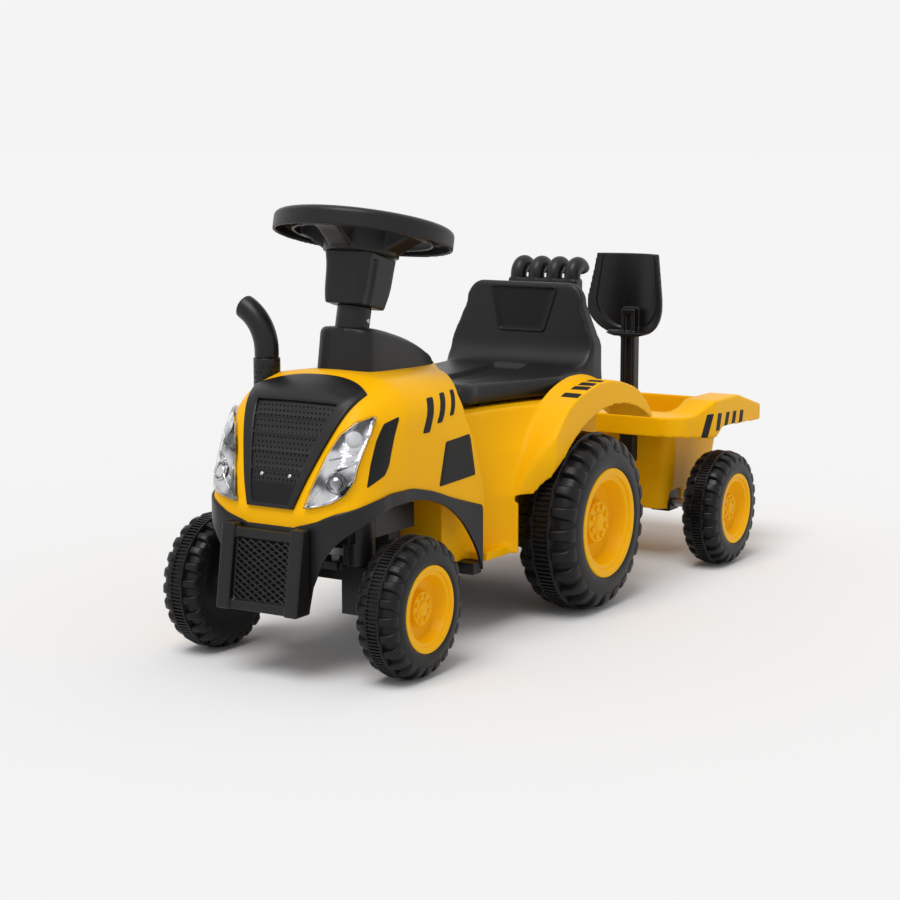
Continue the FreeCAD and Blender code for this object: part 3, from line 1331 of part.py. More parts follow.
def make_trailer():
    """Open trailer tub with a wide folded rim, wings over the wheels and two tool holes in its ledge."""
    half = s.trailer_wing_half
    band_low = s.trailer_rim_z - s.trailer_rim_band
    lowest = band_low - s.trailer_rim_band
    rim = prism(rim_plan(0), "plan", lowest, s.trailer_crest_z + s.overrun)
    rim = rim.common(prism(rim_profile(0, lowest), "side", -half, half)).cut(rim_sweep(band_low))
    hollow = prism(rim_plan(s.wall), "plan", lowest - s.overrun, s.trailer_crest_z + s.overrun)
    hollow = hollow.common(prism(rim_profile(s.wall, lowest - s.overrun), "side", -half, half))
    rim = rim.cut(hollow)
    under_top = prism(rim_profile(0, 0), "side", -half, half)
    top = s.trailer_crest_z + s.overrun
    tub = tub_loft(0, s.tub_base_z, top).common(under_top)
    tunnel_x = s.trailer_axle_x
    inside = tub_loft(s.wall, s.tub_base_z + s.wall, top + s.overrun)
    raised = box(tunnel_x - s.tunnel_half - s.wall, tunnel_x + s.tunnel_half + s.wall, -half, half, 0,
                 s.tunnel_top_z + s.wall)
    groove = box(tunnel_x - s.tunnel_half, tunnel_x + s.tunnel_half, -half, half, 0, s.tunnel_top_z)
    body = rim.fuse(tub).cut(inside.cut(raised)).cut(groove)
    for side in (-1, 1):
        body = body.cut(tool_hole(side))
    add_piece("trailer_tub", body.removeSplitter())
    blocks = []
    block_outer = s.tub_half_width - s.tub_draft_y
    for side in (-1, 1):
        low, high = sorted((side * (block_outer - s.axle_block_width), side * block_outer))
        block = box(tunnel_x - s.tunnel_half, tunnel_x + s.tunnel_half, low, high,
                    s.tub_base_z - s.wall, s.tunnel_top_z)
        bore = rod(s.axle_radius + s.fit_gap, Vector(tunnel_x, low, s.small_wheel_radius),
                   Vector(tunnel_x, high, s.small_wheel_radius))
        blocks.append(block.cut(bore))
    add_piece("trailer_axle_blocks", Part.makeCompound(blocks))
    add_axle("trailer", tunnel_x, "small_wheel")


def make_drawbar():
    """Drawbar from the hitch eye down and back under the tub's floor, with the hitch pin."""
    low = s.floor_z + s.floor_thick + s.seat_gap
    high = low + s.drawbar_thick
    foot_low = s.tub_base_z - s.drawbar_thick
    bend_x = s.tub_front_x + s.drawbar_thick
    side = [
        (s.hitch_x, low), (s.hitch_x, high), (bend_x, high), (bend_x, s.tub_base_z),
        (s.drawbar_foot_x, s.tub_base_z), (s.drawbar_foot_x, foot_low),
        (bend_x + s.drawbar_thick, foot_low), (bend_x + s.drawbar_thick, low),
    ]
    bar = prism(side, "side", -s.drawbar_half_width, s.drawbar_half_width)
    eye_foot = Vector(s.hitch_x, 0, low)
    bar = bar.fuse(rod(s.drawbar_eye_radius, eye_foot, eye_foot + UP * s.drawbar_thick))
    eye_head = eye_foot + UP * s.hitch_half_width
    bar = bar.cut(rod(s.hitch_pin_radius + s.fit_gap, eye_foot - UP * s.overrun, eye_head))
    add_piece("drawbar", bar.removeSplitter())
    head_low = high + s.seat_gap + s.hitch_cheek
    foot = Vector(s.hitch_x, 0, s.floor_z)
    head = Vector(s.hitch_x, 0, head_low)
    cap = rod(s.hitch_head_radius, head, head + UP * s.hitch_head_height)
    add_piece("hitch_pin", rod(s.hitch_pin_radius, foot, head).fuse(cap).removeSplitter())


def tool_hole(side):
    """Hole in the trailer's front ledge for a tool's handle."""
    return handle_bar(side, s.slack_gap, s.trailer_rim_z - s.trailer_rim_band, s.trailer_rim_z + s.overrun)


def handle_bar(side, grow, low, high):
    """Straight bar of a tool's handle, grown by a clearance."""
    half_width = s.handle_width / 2 + grow
    half_depth = s.handle_depth / 2 + grow
    return box(s.tool_x - half_depth, s.tool_x + half_depth, side * s.tool_y - half_width,
               side * s.tool_y + half_width, low, high)


def tool_handle(side, top):
    """H-shaped handle with a collar that rests on the trailer's ledge."""
    bar = handle_bar(side, 0, s.handle_foot_z, top)
    rest = s.trailer_rim_z + s.seat_gap
    collar = handle_bar(side, s.handle_collar, rest, rest + s.handle_collar_height)
    flute_low = rest + s.handle_collar_height + s.overrun
    flute_half = s.handle_width / 2 - s.handle_groove
    flutes = []
    for face in (-1, 1):
        middle = s.tool_x + face * s.handle_depth / 2
        flutes.append(box(middle - s.handle_groove, middle + s.handle_groove, side * s.tool_y - flute_half,
                          side * s.tool_y + flute_half, flute_low, top - s.overrun))
    return bar.fuse(collar).cut(flutes)


def shovel_outline(inset):
    """Front outline of the shovel's blade: narrow at the top and round at the foot."""
    y, half = s.tool_y, s.shovel_width / 2 - inset
    low, high = s.shovel_base_z + inset, s.shovel_top_z + inset
    tall = s.shovel_top_z - low
    side_z = low + tall * SHOVEL_SIDE_SHARE
    foot, top = half * SHOVEL_FOOT_SHARE, half * SHOVEL_TOP_SHARE
    corner_half, corner_z = half * SHOVEL_CORNER_SHARES[0], low + tall * SHOVEL_CORNER_SHARES[1]
    return [(y + half, side_z), (y + top, high), (y - top, high), (y - half, side_z),
            Bow((y - corner_half, corner_z)), (y - foot, low), (y + foot, low),
            Bow((y + corner_half, corner_z))]


def make_shovel():
    """Shovel that stands blade up: a scooped blade with a round foot on an H-shaped handle."""
    y, half = s.tool_y, s.shovel_width / 2
    low, high = s.shovel_base_z, s.shovel_top_z
    tall = high - low
    plate = prism(shovel_outline(0), "front", s.tool_x - half, s.tool_x + half)
    back_x = s.tool_x - s.handle_depth / 2
    axis_x = back_x + s.shovel_scoop_radius
    axis_foot, axis_head = Vector(axis_x, y, low - s.overrun), Vector(axis_x, y, high + s.overrun)
    bowl = rod(s.shovel_scoop_radius, axis_foot, axis_head)
    scoop = bowl.cut(rod(s.shovel_scoop_radius - s.shovel_wall, axis_foot, axis_head))
    front_half = box(back_x - s.overrun, back_x + half, y - half, y + half, low, high)
    blade = plate.common(scoop).common(front_half)
    dish = rod(s.shovel_scoop_radius - s.shovel_wall + s.shovel_recess, axis_foot, axis_head)
    blade = blade.cut(dish.common(prism(shovel_outline(s.shovel_rim), "front", back_x - half, back_x + half)))
    ledge = box(back_x, back_x + s.handle_width, y - half, y + half, low, low + s.shovel_wall)
    ledge = plate.common(ledge).common(bowl)
    shank = tool_handle(1, low + tall * SHOVEL_SHANK_SHARE)
    add_piece("shovel", shank.fuse([blade, ledge]).removeSplitter())


def make_rake():
    """Rake that stands head up, with fat tines that curl over to the rear."""
    y = -s.tool_y
    low = s.rake_head_z
    high = low + s.rake_head_height
    half_depth = s.handle_depth / 2 + s.wall / 2
    half = s.rake_width / 2
    parts = [box(s.tool_x - half_depth, s.tool_x + half_depth, y - half, y + half, low, high)]
    pitch = (s.rake_width - s.rake_tine_radius * 2) / (s.rake_tine_count - 1)
    for number in range(int(s.rake_tine_count)):
        tine_y = y - half + s.rake_tine_radius + number * pitch
        foot = Vector(s.tool_x, tine_y, high - s.wall)
        bend = foot + UP * s.rake_tine_radius
        centre = bend - Vector(s.rake_curl_radius, 0, 0)
        parts.append(rod(s.rake_tine_radius, foot, bend))
        ring = Part.makeTorus(s.rake_curl_radius, s.rake_tine_radius, ORIGIN, UP, -180, 180,
                              s.rake_curl_angle)
        ring.Placement = Placement(centre, Rotation(Vector(1, 0, 0), 90.0))
        parts.append(ring)
    handle = tool_handle(-1, low)
    add_piece("rake", handle.fuse(parts).removeSplitter())


def check_and_write():
    """Stops on any failed object, then writes each piece to its own file."""
    doc.recompute()
    for item in doc.Objects:
        if "Invalid" in item.State or "Error" in item.State:
            raise RuntimeError(f"{item.Label} failed: {item.State}")
    for piece in pieces:
        if piece.Shape.isNull() or not piece.Shape.isValid() or not piece.Shape.Solids:
            raise RuntimeError(f"{piece.Label} has no valid shape")
    os.makedirs("parts", exist_ok=True)
    for piece in pieces:
        piece.Shape.exportStep(f"parts/{piece.Label}.step")
        print(piece.Label, len(piece.Shape.Solids), round(piece.Shape.Volume))


make_wheels()
make_hood()
make_grille()
make_headlamps()
make_bumper()
make_guard()
make_chassis()
add_axle("rear", 0.0, "rear_wheel")
make_rear_body()
make_bin()
make_seat()
make_cowl()
make_exhaust()
make_steering()
make_knuckles()
make_trailer()
make_drawbar()
make_shovel()
make_rake()
check_and_write()
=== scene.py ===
"""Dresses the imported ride-on tractor toy: moulded pieces, finishes, light and camera.

Sizes in the classes are millimetres in the part's own frame: +X forward, +Y to the rider's left, +Z up.
Meshes are made in metres.
"""

import json
import logging
import math
from abc import ABC, abstractmethod
from dataclasses import dataclass, field
from enum import Enum
from typing import Callable, Sequence, Union

import bmesh
import bpy
import numpy as np
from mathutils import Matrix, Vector
from mathutils.bvhtree import BVHTree

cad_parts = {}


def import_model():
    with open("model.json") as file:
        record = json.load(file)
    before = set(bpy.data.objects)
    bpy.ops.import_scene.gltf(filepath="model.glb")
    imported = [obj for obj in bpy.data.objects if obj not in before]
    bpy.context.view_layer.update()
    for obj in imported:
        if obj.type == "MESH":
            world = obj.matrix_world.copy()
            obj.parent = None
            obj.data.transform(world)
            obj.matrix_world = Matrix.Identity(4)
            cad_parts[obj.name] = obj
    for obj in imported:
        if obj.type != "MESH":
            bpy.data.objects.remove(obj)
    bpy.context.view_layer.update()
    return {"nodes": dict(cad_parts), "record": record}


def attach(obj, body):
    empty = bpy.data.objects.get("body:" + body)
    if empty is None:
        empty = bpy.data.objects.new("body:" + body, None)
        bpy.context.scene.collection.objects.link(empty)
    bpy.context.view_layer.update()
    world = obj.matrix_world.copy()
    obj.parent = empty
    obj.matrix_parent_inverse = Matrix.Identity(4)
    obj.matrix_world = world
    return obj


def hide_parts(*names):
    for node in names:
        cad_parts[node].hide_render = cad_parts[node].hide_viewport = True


LOG = logging.getLogger("tractor")
MM = 0.001
MERGE_DISTANCE = 0.00001
# Distance in millimetres that lines of sight start from
FAR = 600.0

Object = bpy.types.Object
Socket = bpy.types.NodeSocket
Sockets = dict[str, Socket]
Feed = Union[Socket, float, tuple[float, ...]]
Outputs = bpy.types.NodeOutputs
Colour = tuple[float, float, float]
Point = tuple[float, float, float]
Flat = tuple[float, float]
Outline = tuple[Flat, ...]
Rows = Sequence[Sequence[Point]]

# Angles in degrees from which an edge stays sharp or is rounded
LUG_ANGLE = 25.0
FIN_ANGLE = 30.0
DISH_ANGLE = 32.0
EDGE_ANGLE = 35.0
CRISP_ANGLE = 40.0
FRAME_ANGLE = 45.0
SOFT_ANGLE = 50.0
WIRE_ANGLE = 60.0

# Shares and steps used by the mesh tools
CURVE_STEPS = 4
LONGEST_CURVE_SHARE = 0.45
PIT_SHARE = 0.8
PIT_STEPS = 4
UPRIGHT_LENGTH = 0.01


class Side(Enum):
    """Side of the toy, with the sign of its Y."""

    LEFT = 1
    RIGHT = -1

    @property
    def label(self) -> str:
        """Name that node labels end with."""
        return self.name.lower()


class Axle(Enum):
    """Axle of the toy, with the name that node labels start with."""

    FRONT = "front"
    REAR = "rear"
    TRAILER = "trailer"


# Shader graphs
class Graph:
    """Adds nodes to a shader tree and joins them."""

    def __init__(self, tree: bpy.types.NodeTree) -> None:
        """Works on one node tree."""
        self.tree = tree

    def add(self, kind: str, inputs: dict | None = None, **settings: object) -> bpy.types.Node:
        """Adds one node.

        Args:
            kind: Node type.
            inputs: Socket name or number, to a value or to a socket that feeds it.
            settings: Properties of the node.

        Returns:
            The new node.
        """
        node = self.tree.nodes.new(kind)
        for name, value in settings.items():
            setattr(node, name, value)
        for name, value in (inputs or {}).items():
            self.feed(node.inputs[name], value)
        return node

    def feed(self, socket: Socket, value: Feed) -> None:
        """Gives an input a value, or joins it to another socket.

        Args:
            socket: The input.
            value: Value or socket that it gets.
        """
        if isinstance(value, Socket):
            self.tree.links.new(value, socket)
        else:
            socket.default_value = value

    def math(self, operation: str, first: Feed, second: Feed = 0.0, third: Feed = 0.0) -> Socket:
        """Result of one arithmetic step."""
        node = self.add("ShaderNodeMath", {0: first, 1: second, 2: third}, operation=operation)
        return node.outputs[0]

    def place(self) -> Socket:
        """Place on the object, in its own coordinates."""
        return self.add("ShaderNodeTexCoord").outputs["Object"]

    def noise(self, place: Socket, scale: Feed, detail: float) -> Socket:
        """Strength of a noise pattern."""
        return self.add("ShaderNodeTexNoise", {"Vector": place, "Scale": scale, "Detail": detail}).outputs[0]

    def bump(self, height: Socket, strength: float, distance: float) -> Socket:
        """Normal that follows a height."""
        values = {"Height": height, "Strength": strength, "Distance": distance}
        return self.add("ShaderNodeBump", values).outputs[0]

    def span(self, value: Feed, low: float, high: float, start: float = 0.0, end: float = 1.0) -> Socket:
        """Value moved smoothly from one range to another, held at both ends.

        Args:
            value: Number or socket.
            low: Start of the range that it comes from.
            high: End of that range.
            start: Start of the range that it goes to.
            end: End of that range.

        Returns:
            The moved value.
        """
        values = {"Value": value, "From Min": low, "From Max": high, "To Min": start, "To Max": end}
        node = self.add("ShaderNodeMapRange", values, interpolation_type="SMOOTHSTEP")
        return node.outputs["Result"]

    def mix(self, share: Feed, first: Feed, second: Feed) -> Socket:
        """Blend of two colours.

        Args:
            share: Share of the second colour.
            first: First colour, with its alpha, or a socket.
            second: Second colour, with its alpha, or a socket.

        Returns:
            The blended colour.
        """
        node = self.add("ShaderNodeMix", data_type="RGBA")
        for name, value in (("Factor", share), ("A", first), ("B", second)):
            socket = next(item for item in node.inputs if item.name == name and item.enabled)
            self.feed(socket, value)
        return next(item for item in node.outputs if item.enabled)


class ShaderGroup(ABC):
    """A shared surface effect, kept as one node group."""

    name: str
    inputs: dict[str, float] = {}
    outputs: tuple[str, ...] = ()

    def tree(self) -> bpy.types.NodeTree:
        """Makes the group's node tree the first time it is asked for.

        Returns:
            The tree.
        """
        found = bpy.data.node_groups.get(self.name)
        if found:
            return found
        tree = bpy.data.node_groups.new(self.name, "ShaderNodeTree")
        for name, value in self.inputs.items():
            socket = tree.interface.new_socket(name, in_out="INPUT", socket_type="NodeSocketFloat")
            socket.default_value = value
        for name in self.outputs:
            tree.interface.new_socket(name, in_out="OUTPUT", socket_type="NodeSocketFloat")
        graph = Graph(tree)
        source = graph.add("NodeGroupInput")
        drain = graph.add("NodeGroupOutput")
        for name, socket in self.effect(graph, source.outputs).items():
            graph.feed(drain.inputs[name], socket)
        return tree

    def use(self, graph: Graph, **values: Feed) -> Outputs:
        """Places the group in a material.

        Args:
            graph: Graph of the material.
            values: Values or sockets for the group's inputs.

        Returns:
            The group's outputs.
        """
        node = graph.add("ShaderNodeGroup", node_tree=self.tree())
        for name, value in values.items():
            graph.feed(node.inputs[name.replace("_", " ").title()], value)
        return node.outputs

    @abstractmethod
    def effect(self, graph: Graph, inputs: Outputs) -> Sockets:
        """Builds the effect from the group's inputs and names the socket for each output."""


class MouldedGrain(ShaderGroup):
    """Fine spark-eroded grain of a moulding, with slow changes of tone over it."""

    name = "MouldedGrain"
    inputs = {"Scale": 900.0}
    outputs = ("Height", "Tone")
    fine_detail = 3.0
    slow_detail = 4.0
    slow_scale = 9.0
    tone_range = (0.3, 0.7)

    def effect(self, graph: Graph, inputs: Outputs) -> Sockets:
        """Two sizes of noise: one for the grain and one for the tone.

        Args:
            graph: Graph of the group.
            inputs: The group's inputs.

        Returns:
            The grain's height and the tone.
        """
        place = graph.place()
        fine = graph.noise(place, inputs["Scale"], self.fine_detail)
        slow = graph.noise(place, self.slow_scale, self.slow_detail)
        return {"Height": fine, "Tone": graph.span(slow, *self.tone_range)}


class EdgeWear(ShaderGroup):
    """Mask of rubbed edges, broken up so that it never runs as an even line."""

    name = "EdgeWear"
    inputs = {"Radius": 0.0012}
    outputs = ("Mask",)
    alike_range = (0.995, 0.86)
    edge_samples = 4
    break_detail = 5.0
    break_scale = 160.0
    break_range = (0.42, 0.62)

    def effect(self, graph: Graph, inputs: Outputs) -> Sockets:
        """Compares the true normal with one rounded at the edges.

        Args:
            graph: Graph of the group.
            inputs: The group's inputs.

        Returns:
            The mask.
        """
        rounded = graph.add("ShaderNodeBevel", {"Radius": inputs["Radius"]}, samples=self.edge_samples)
        normal = graph.add("ShaderNodeNewGeometry").outputs["Normal"]
        alike = graph.add("ShaderNodeVectorMath", {0: rounded.outputs[0], 1: normal}, operation="DOT_PRODUCT")
        edge = graph.span(alike.outputs["Value"], *self.alike_range)
        broken = graph.noise(graph.place(), self.break_scale, self.break_detail)
        return {"Mask": graph.math("MULTIPLY", edge, graph.span(broken, *self.break_range))}


class Scuffs(ShaderGroup):
    """Mask of thin handling marks that lie in a few directions."""

    name = "Scuffs"
    inputs = {"Amount": 0.5}
    outputs = ("Mask",)
    rotation = (0.6, 0.4, 0.9)
    stretch = (1.0, 14.0, 1.0)
    detail = 2.0
    line_scale = 110.0
    line_range = (0.66, 0.74)
    patch_scale = 14.0
    patch_range = (0.52, 0.66)

    def effect(self, graph: Graph, inputs: Outputs) -> Sockets:
        """Stretched noise kept only where it is strongest, in a few patches.

        Args:
            graph: Graph of the group.
            inputs: The group's inputs.

        Returns:
            The mask.
        """
        place = graph.place()
        values = {"Vector": place, "Rotation": self.rotation, "Scale": self.stretch}
        drawn = graph.add("ShaderNodeMapping", values).outputs[0]
        lines = graph.noise(drawn, self.line_scale, self.detail)
        patches = graph.noise(place, self.patch_scale, self.detail)
        thin = graph.span(lines, *self.line_range)
        kept = graph.math("MULTIPLY", thin, graph.span(patches, *self.patch_range))
        return {"Mask": graph.math("MULTIPLY", kept, inputs["Amount"])}


# Finishes
@dataclass(frozen=True)
class Finish(ABC):
    """One surface finish of the toy."""

    name: str
    slot: str

    def material(self) -> bpy.types.Material:
        """Makes the material the first time it is asked for.

        Returns:
            The material.
        """
        found = bpy.data.materials.get(self.name)
        if found:
            return found
        made = bpy.data.materials.new(self.name)
        made.use_nodes = True
        shader = made.node_tree.nodes["Principled BSDF"]
        self.shade(Graph(made.node_tree), shader)
        return made

    @abstractmethod
    def shade(self, graph: Graph, shader: bpy.types.Node) -> None:
        """Feeds the material's shader node."""


@dataclass(frozen=True)
class Plastic(Finish):
    """Moulded plastic with fine grain, slow changes of tone, rubbed edges and a few scuffs."""

    colour: Colour = (0.5, 0.5, 0.5)
    shade_colour: Colour = (0.4, 0.4, 0.4)
    worn_colour: Colour = (0.6, 0.6, 0.6)
    roughness: float = 0.4
    grain_depth: float = 0.12
    grain_scale: float = 900.0
    wear: float = 0.2
    scuffs: float = 0.2
    specular: float = 0.5
    gloss_range: Flat = (-0.04, 0.05)
    wear_dulling: float = 0.25
    bump_strength: float = 0.5
    bump_distance: float = 0.0006

    def shade(self, graph: Graph, shader: bpy.types.Node) -> None:
        """Grain drives bump, tone and gloss; edges and scuffs are lighter and duller.

        Args:
            graph: Graph of the material.
            shader: Its shader node.
        """
        grain = MouldedGrain().use(graph, scale=self.grain_scale)
        worn = EdgeWear().use(graph)["Mask"]
        marks = Scuffs().use(graph, amount=self.scuffs)["Mask"]
        colour = graph.mix(grain["Tone"], (*self.shade_colour, 1.0), (*self.colour, 1.0))
        rubbed = graph.math("MAXIMUM", graph.math("MULTIPLY", worn, self.wear), marks)
        height = graph.math("MULTIPLY", grain["Height"], self.grain_depth)
        glossy, dull = (self.roughness + change for change in self.gloss_range)
        rough = graph.span(grain["Tone"], 0.0, 1.0, glossy, dull)
        graph.feed(shader.inputs["Base Color"], graph.mix(rubbed, colour, (*self.worn_colour, 1.0)))
        graph.feed(shader.inputs["Roughness"], graph.math("MULTIPLY_ADD", rubbed, self.wear_dulling, rough))
        graph.feed(shader.inputs["Normal"], graph.bump(height, self.bump_strength, self.bump_distance))
        graph.feed(shader.inputs["Specular IOR Level"], self.specular)


@dataclass(frozen=True)
class ClearLens(Finish):
    """Clear moulded lens with a slightly wavy face."""

    tint: Colour = (0.97, 0.98, 1.0)
    clear: Colour = (1.0, 1.0, 1.0)
    wave_scale: float = 120.0
    wave_range: Flat = (0.3, 0.7)
    gloss_range: Flat = (0.01, 0.05)
    bump_strength: float = 0.08
    bump_distance: float = 0.0005
    refraction: float = 1.2

    def shade(self, graph: Graph, shader: bpy.types.Node) -> None:
        """Clear shader whose gloss and normal vary a little.

        Args:
            graph: Graph of the material.
            shader: Its shader node.
        """
        grain = MouldedGrain().use(graph, scale=self.wave_scale)
        colour = graph.mix(grain["Tone"], (*self.tint, 1.0), (*self.clear, 1.0))
        rough = graph.span(grain["Height"], *self.wave_range, *self.gloss_range)
        normal = graph.bump(grain["Height"], self.bump_strength, self.bump_distance)
        graph.feed(shader.inputs["Roughness"], rough)
        graph.feed(shader.inputs["Base Color"], colour)
        graph.feed(shader.inputs["Normal"], normal)
        graph.feed(shader.inputs["Transmission Weight"], 1.0)
        graph.feed(shader.inputs["IOR"], self.refraction)


@dataclass(frozen=True)
class BrightMetal(Finish):
    """Plated or drawn bright metal with fine streaks."""

    colour: Colour = (0.8, 0.8, 0.82)
    # Darker colour blended in by noise: a change of tone on the steel, and painted dark reflection on the
    # bright reflector
    dark_colour: Colour = (0.6, 0.6, 0.62)
    roughness: float = 0.15
    dulling: float = 0.12
    facets: float = 0.0
    streak_scale: float = 500.0
    streak_range: Flat = (0.3, 0.7)
    cell_scale: float = 150.0
    tone_scale: float = 45.0
    tone_detail: float = 1.0
    tone_range: Flat = (0.36, 0.60)
    bump_strength: float = 0.35
    bump_distance: float = 0.0008

    def shade(self, graph: Graph, shader: bpy.types.Node) -> None:
        """Streaks change the gloss; facets break up the reflections of a lamp bowl; noise blends in the
        darker colour, which is a change of tone on the steel and painted dark reflection on the bright
        reflector.

        Args:
            graph: Graph of the material.
            shader: Its shader node.
        """
        streaks = MouldedGrain().use(graph, scale=self.streak_scale)["Height"]
        place = graph.place()
        cells = graph.add("ShaderNodeTexVoronoi", {"Vector": place, "Scale": self.cell_scale})
        height = graph.math("MULTIPLY_ADD", cells.outputs["Distance"], self.facets, streaks)
        # Noise that blends in the darker colour: a change of tone, and on the bright reflector painted dark
        # reflection
        tone = graph.noise(place, self.tone_scale, self.tone_detail)
        share = graph.span(tone, *self.tone_range)
        rough = graph.span(streaks, *self.streak_range, self.roughness, self.roughness + self.dulling)
        colour = graph.mix(share, (*self.dark_colour, 1.0), (*self.colour, 1.0))
        graph.feed(shader.inputs["Base Color"], colour)
        graph.feed(shader.inputs["Roughness"], rough)
        graph.feed(shader.inputs["Normal"], graph.bump(height, self.bump_strength, self.bump_distance))
        graph.feed(shader.inputs["Metallic"], 1.0)


YELLOW = Plastic("YellowPlastic", "yellow_plastic", colour=(0.93, 0.47, 0.0005),
                 shade_colour=(0.90, 0.44, 0.0005), worn_colour=(0.95, 0.54, 0.004), roughness=0.36,
                 grain_depth=0.05, wear=0.25, scuffs=0.01, specular=0.10)
BLACK = Plastic("BlackPlastic", "black_plastic", colour=(0.0066, 0.0062, 0.0066),
                shade_colour=(0.0050, 0.0047, 0.0050), worn_colour=(0.06, 0.06, 0.06), roughness=0.36,
                grain_depth=0.18, wear=0.3, scuffs=0.18, specular=0.32)
TYRE = Plastic("TyrePlastic", "tyre_plastic", colour=(0.0060, 0.0058, 0.0058),
               shade_colour=(0.0048, 0.0046, 0.0046), worn_colour=(0.05, 0.05, 0.05), roughness=0.34,
               grain_depth=0.1, wear=0.35, scuffs=0.12, specular=0.22)
INSERT = Plastic("InsertPlastic", "black_plastic", colour=(0.0085, 0.008, 0.0085),
                 shade_colour=(0.0065, 0.0065, 0.0065), worn_colour=(0.05, 0.05, 0.05), roughness=0.5,
                 grain_depth=0.9, grain_scale=620.0, wear=0.1, scuffs=0.05, specular=0.18)
# Black of the sheet behind the guard's wires, darker and duller than the black plastic: real black face with
# painted shade of the recess
SHADE = Plastic("RecessShadePlastic", "black_plastic", colour=(0.0028, 0.0027, 0.0028),
                shade_colour=(0.002, 0.002, 0.002), worn_colour=(0.01, 0.01, 0.01), roughness=0.7,
                grain_depth=0.1, wear=0.05, scuffs=0.02, specular=0.06)
PLATE = Plastic("PlatePlastic", "black_plastic", colour=(0.0075, 0.0073, 0.0073),
                shade_colour=(0.006, 0.006, 0.006), worn_colour=(0.04, 0.04, 0.04), roughness=0.38,
                grain_depth=0.05, wear=0.1, scuffs=0.08, specular=0.18)
BUTTON = Plastic("ButtonPlastic", "button_plastic", colour=(0.60, 0.02, 0.012),
                 shade_colour=(0.5, 0.016, 0.01), worn_colour=(0.7, 0.1, 0.08), roughness=0.3,
                 grain_depth=0.03, wear=0.15, scuffs=0.05)
FROSTED = Plastic("FrostedLamp", "clear_lens", colour=(0.62, 0.63, 0.65), shade_colour=(0.52, 0.53, 0.55),
                  worn_colour=(0.8, 0.8, 0.8), roughness=0.22, grain_depth=0.05, wear=0.0, scuffs=0.0)
DARK_GLASS = Plastic("ProjectorLamp", "clear_lens", colour=(0.16, 0.16, 0.17),
                     shade_colour=(0.07, 0.07, 0.075), worn_colour=(0.3, 0.3, 0.3), roughness=0.06,
                     grain_depth=0.02, wear=0.0, scuffs=0.0)
STEEL = BrightMetal("DrawnSteel", "steel", colour=(0.56, 0.56, 0.58), dark_colour=(0.46, 0.46, 0.48),
                    roughness=0.28)
# Bright reflector: its dark colour is painted dark reflection, blended over the bright metal by noise
CHROME = BrightMetal("BrightReflector", "bright_reflector", colour=(0.66, 0.66, 0.67),
                     dark_colour=(0.10, 0.10, 0.105), roughness=0.07, facets=0.8)
LENS = ClearLens("ClearLens", "clear_lens")

# How the moulded copies differ from their nodes, in millimetres unless a name says otherwise
FENDER_REACH = 12.0
FENDER_REACH_Y = (97.0, 118.0)
FENDER_REACH_Z = (130.0, 175.0)
FENDER_SINK = 5.5
FENDER_SINK_Y = (90.0, 96.0)
FENDER_SINK_Z = (218.0, 244.0)
SEAT_GROOVE = 5.0
GROOVE_X = (-54.0, -44.0)
GROOVE_Y = (23.0, 17.0)
GROOVE_Z = (238.0, 242.0)
COLUMN_LEAN = math.radians(13.2)
WHEEL_MIDDLE = Vector((232.8, 0.0, 417.9))
RIM_FOOT = 329.7
RIM_REACH = (52.0, 66.0)
RIM_SINK_SHARE = 0.3
HUB_TAPER_SHARE = 0.13
HUB_TAPER_Z = (338.0, 378.0)

# Flat outlines in millimetres
LAMP_OUTLINE: Outline = (
    (-204.0, 159.7), (-196.1, 179.7), (-182.2, 207.5), (-170.1, 225.8), (-157.2, 236.0), (-142.3, 241.3),
    (-137.6, 240.1), (-145.6, 221.5), (-151.5, 208.9), (-156.4, 196.2), (-159.3, 184.9), (-167.7, 173.1),
    (-179.5, 166.1), (-192.0, 161.8))
WING_STRIPES: tuple[Outline, ...] = (
    ((-267.0, 176.0), (-279.0, 176.0), (-269.0, 149.0), (-257.0, 150.0)),
    ((-289.0, 175.5), (-300.0, 174.5), (-294.0, 155.0), (-283.5, 155.0)),
    ((-313.0, 174.0), (-323.0, 173.5), (-317.0, 158.0), (-307.5, 158.0)),
    ((-333.0, 173.0), (-343.0, 172.5), (-339.0, 158.0), (-328.5, 158.0)),
    ((-354.0, 172.0), (-364.0, 171.0), (-361.0, 157.0), (-350.0, 157.0)))
FENDER_STRIPES: tuple[Outline, ...] = (
    ((24.0, 108.0), (34.6, 108.0), (34.8, 128.0), (24.4, 128.0)),
    ((4.4, 109.0), (15.0, 109.0), (13.6, 128.0), (3.6, 128.0)),
    ((-10.4, 110.0), (1.0, 110.0), (0.4, 127.5), (-9.9, 127.5)),
    ((-26.2, 111.0), (-15.2, 111.0), (-16.6, 127.5), (-26.4, 127.5)))


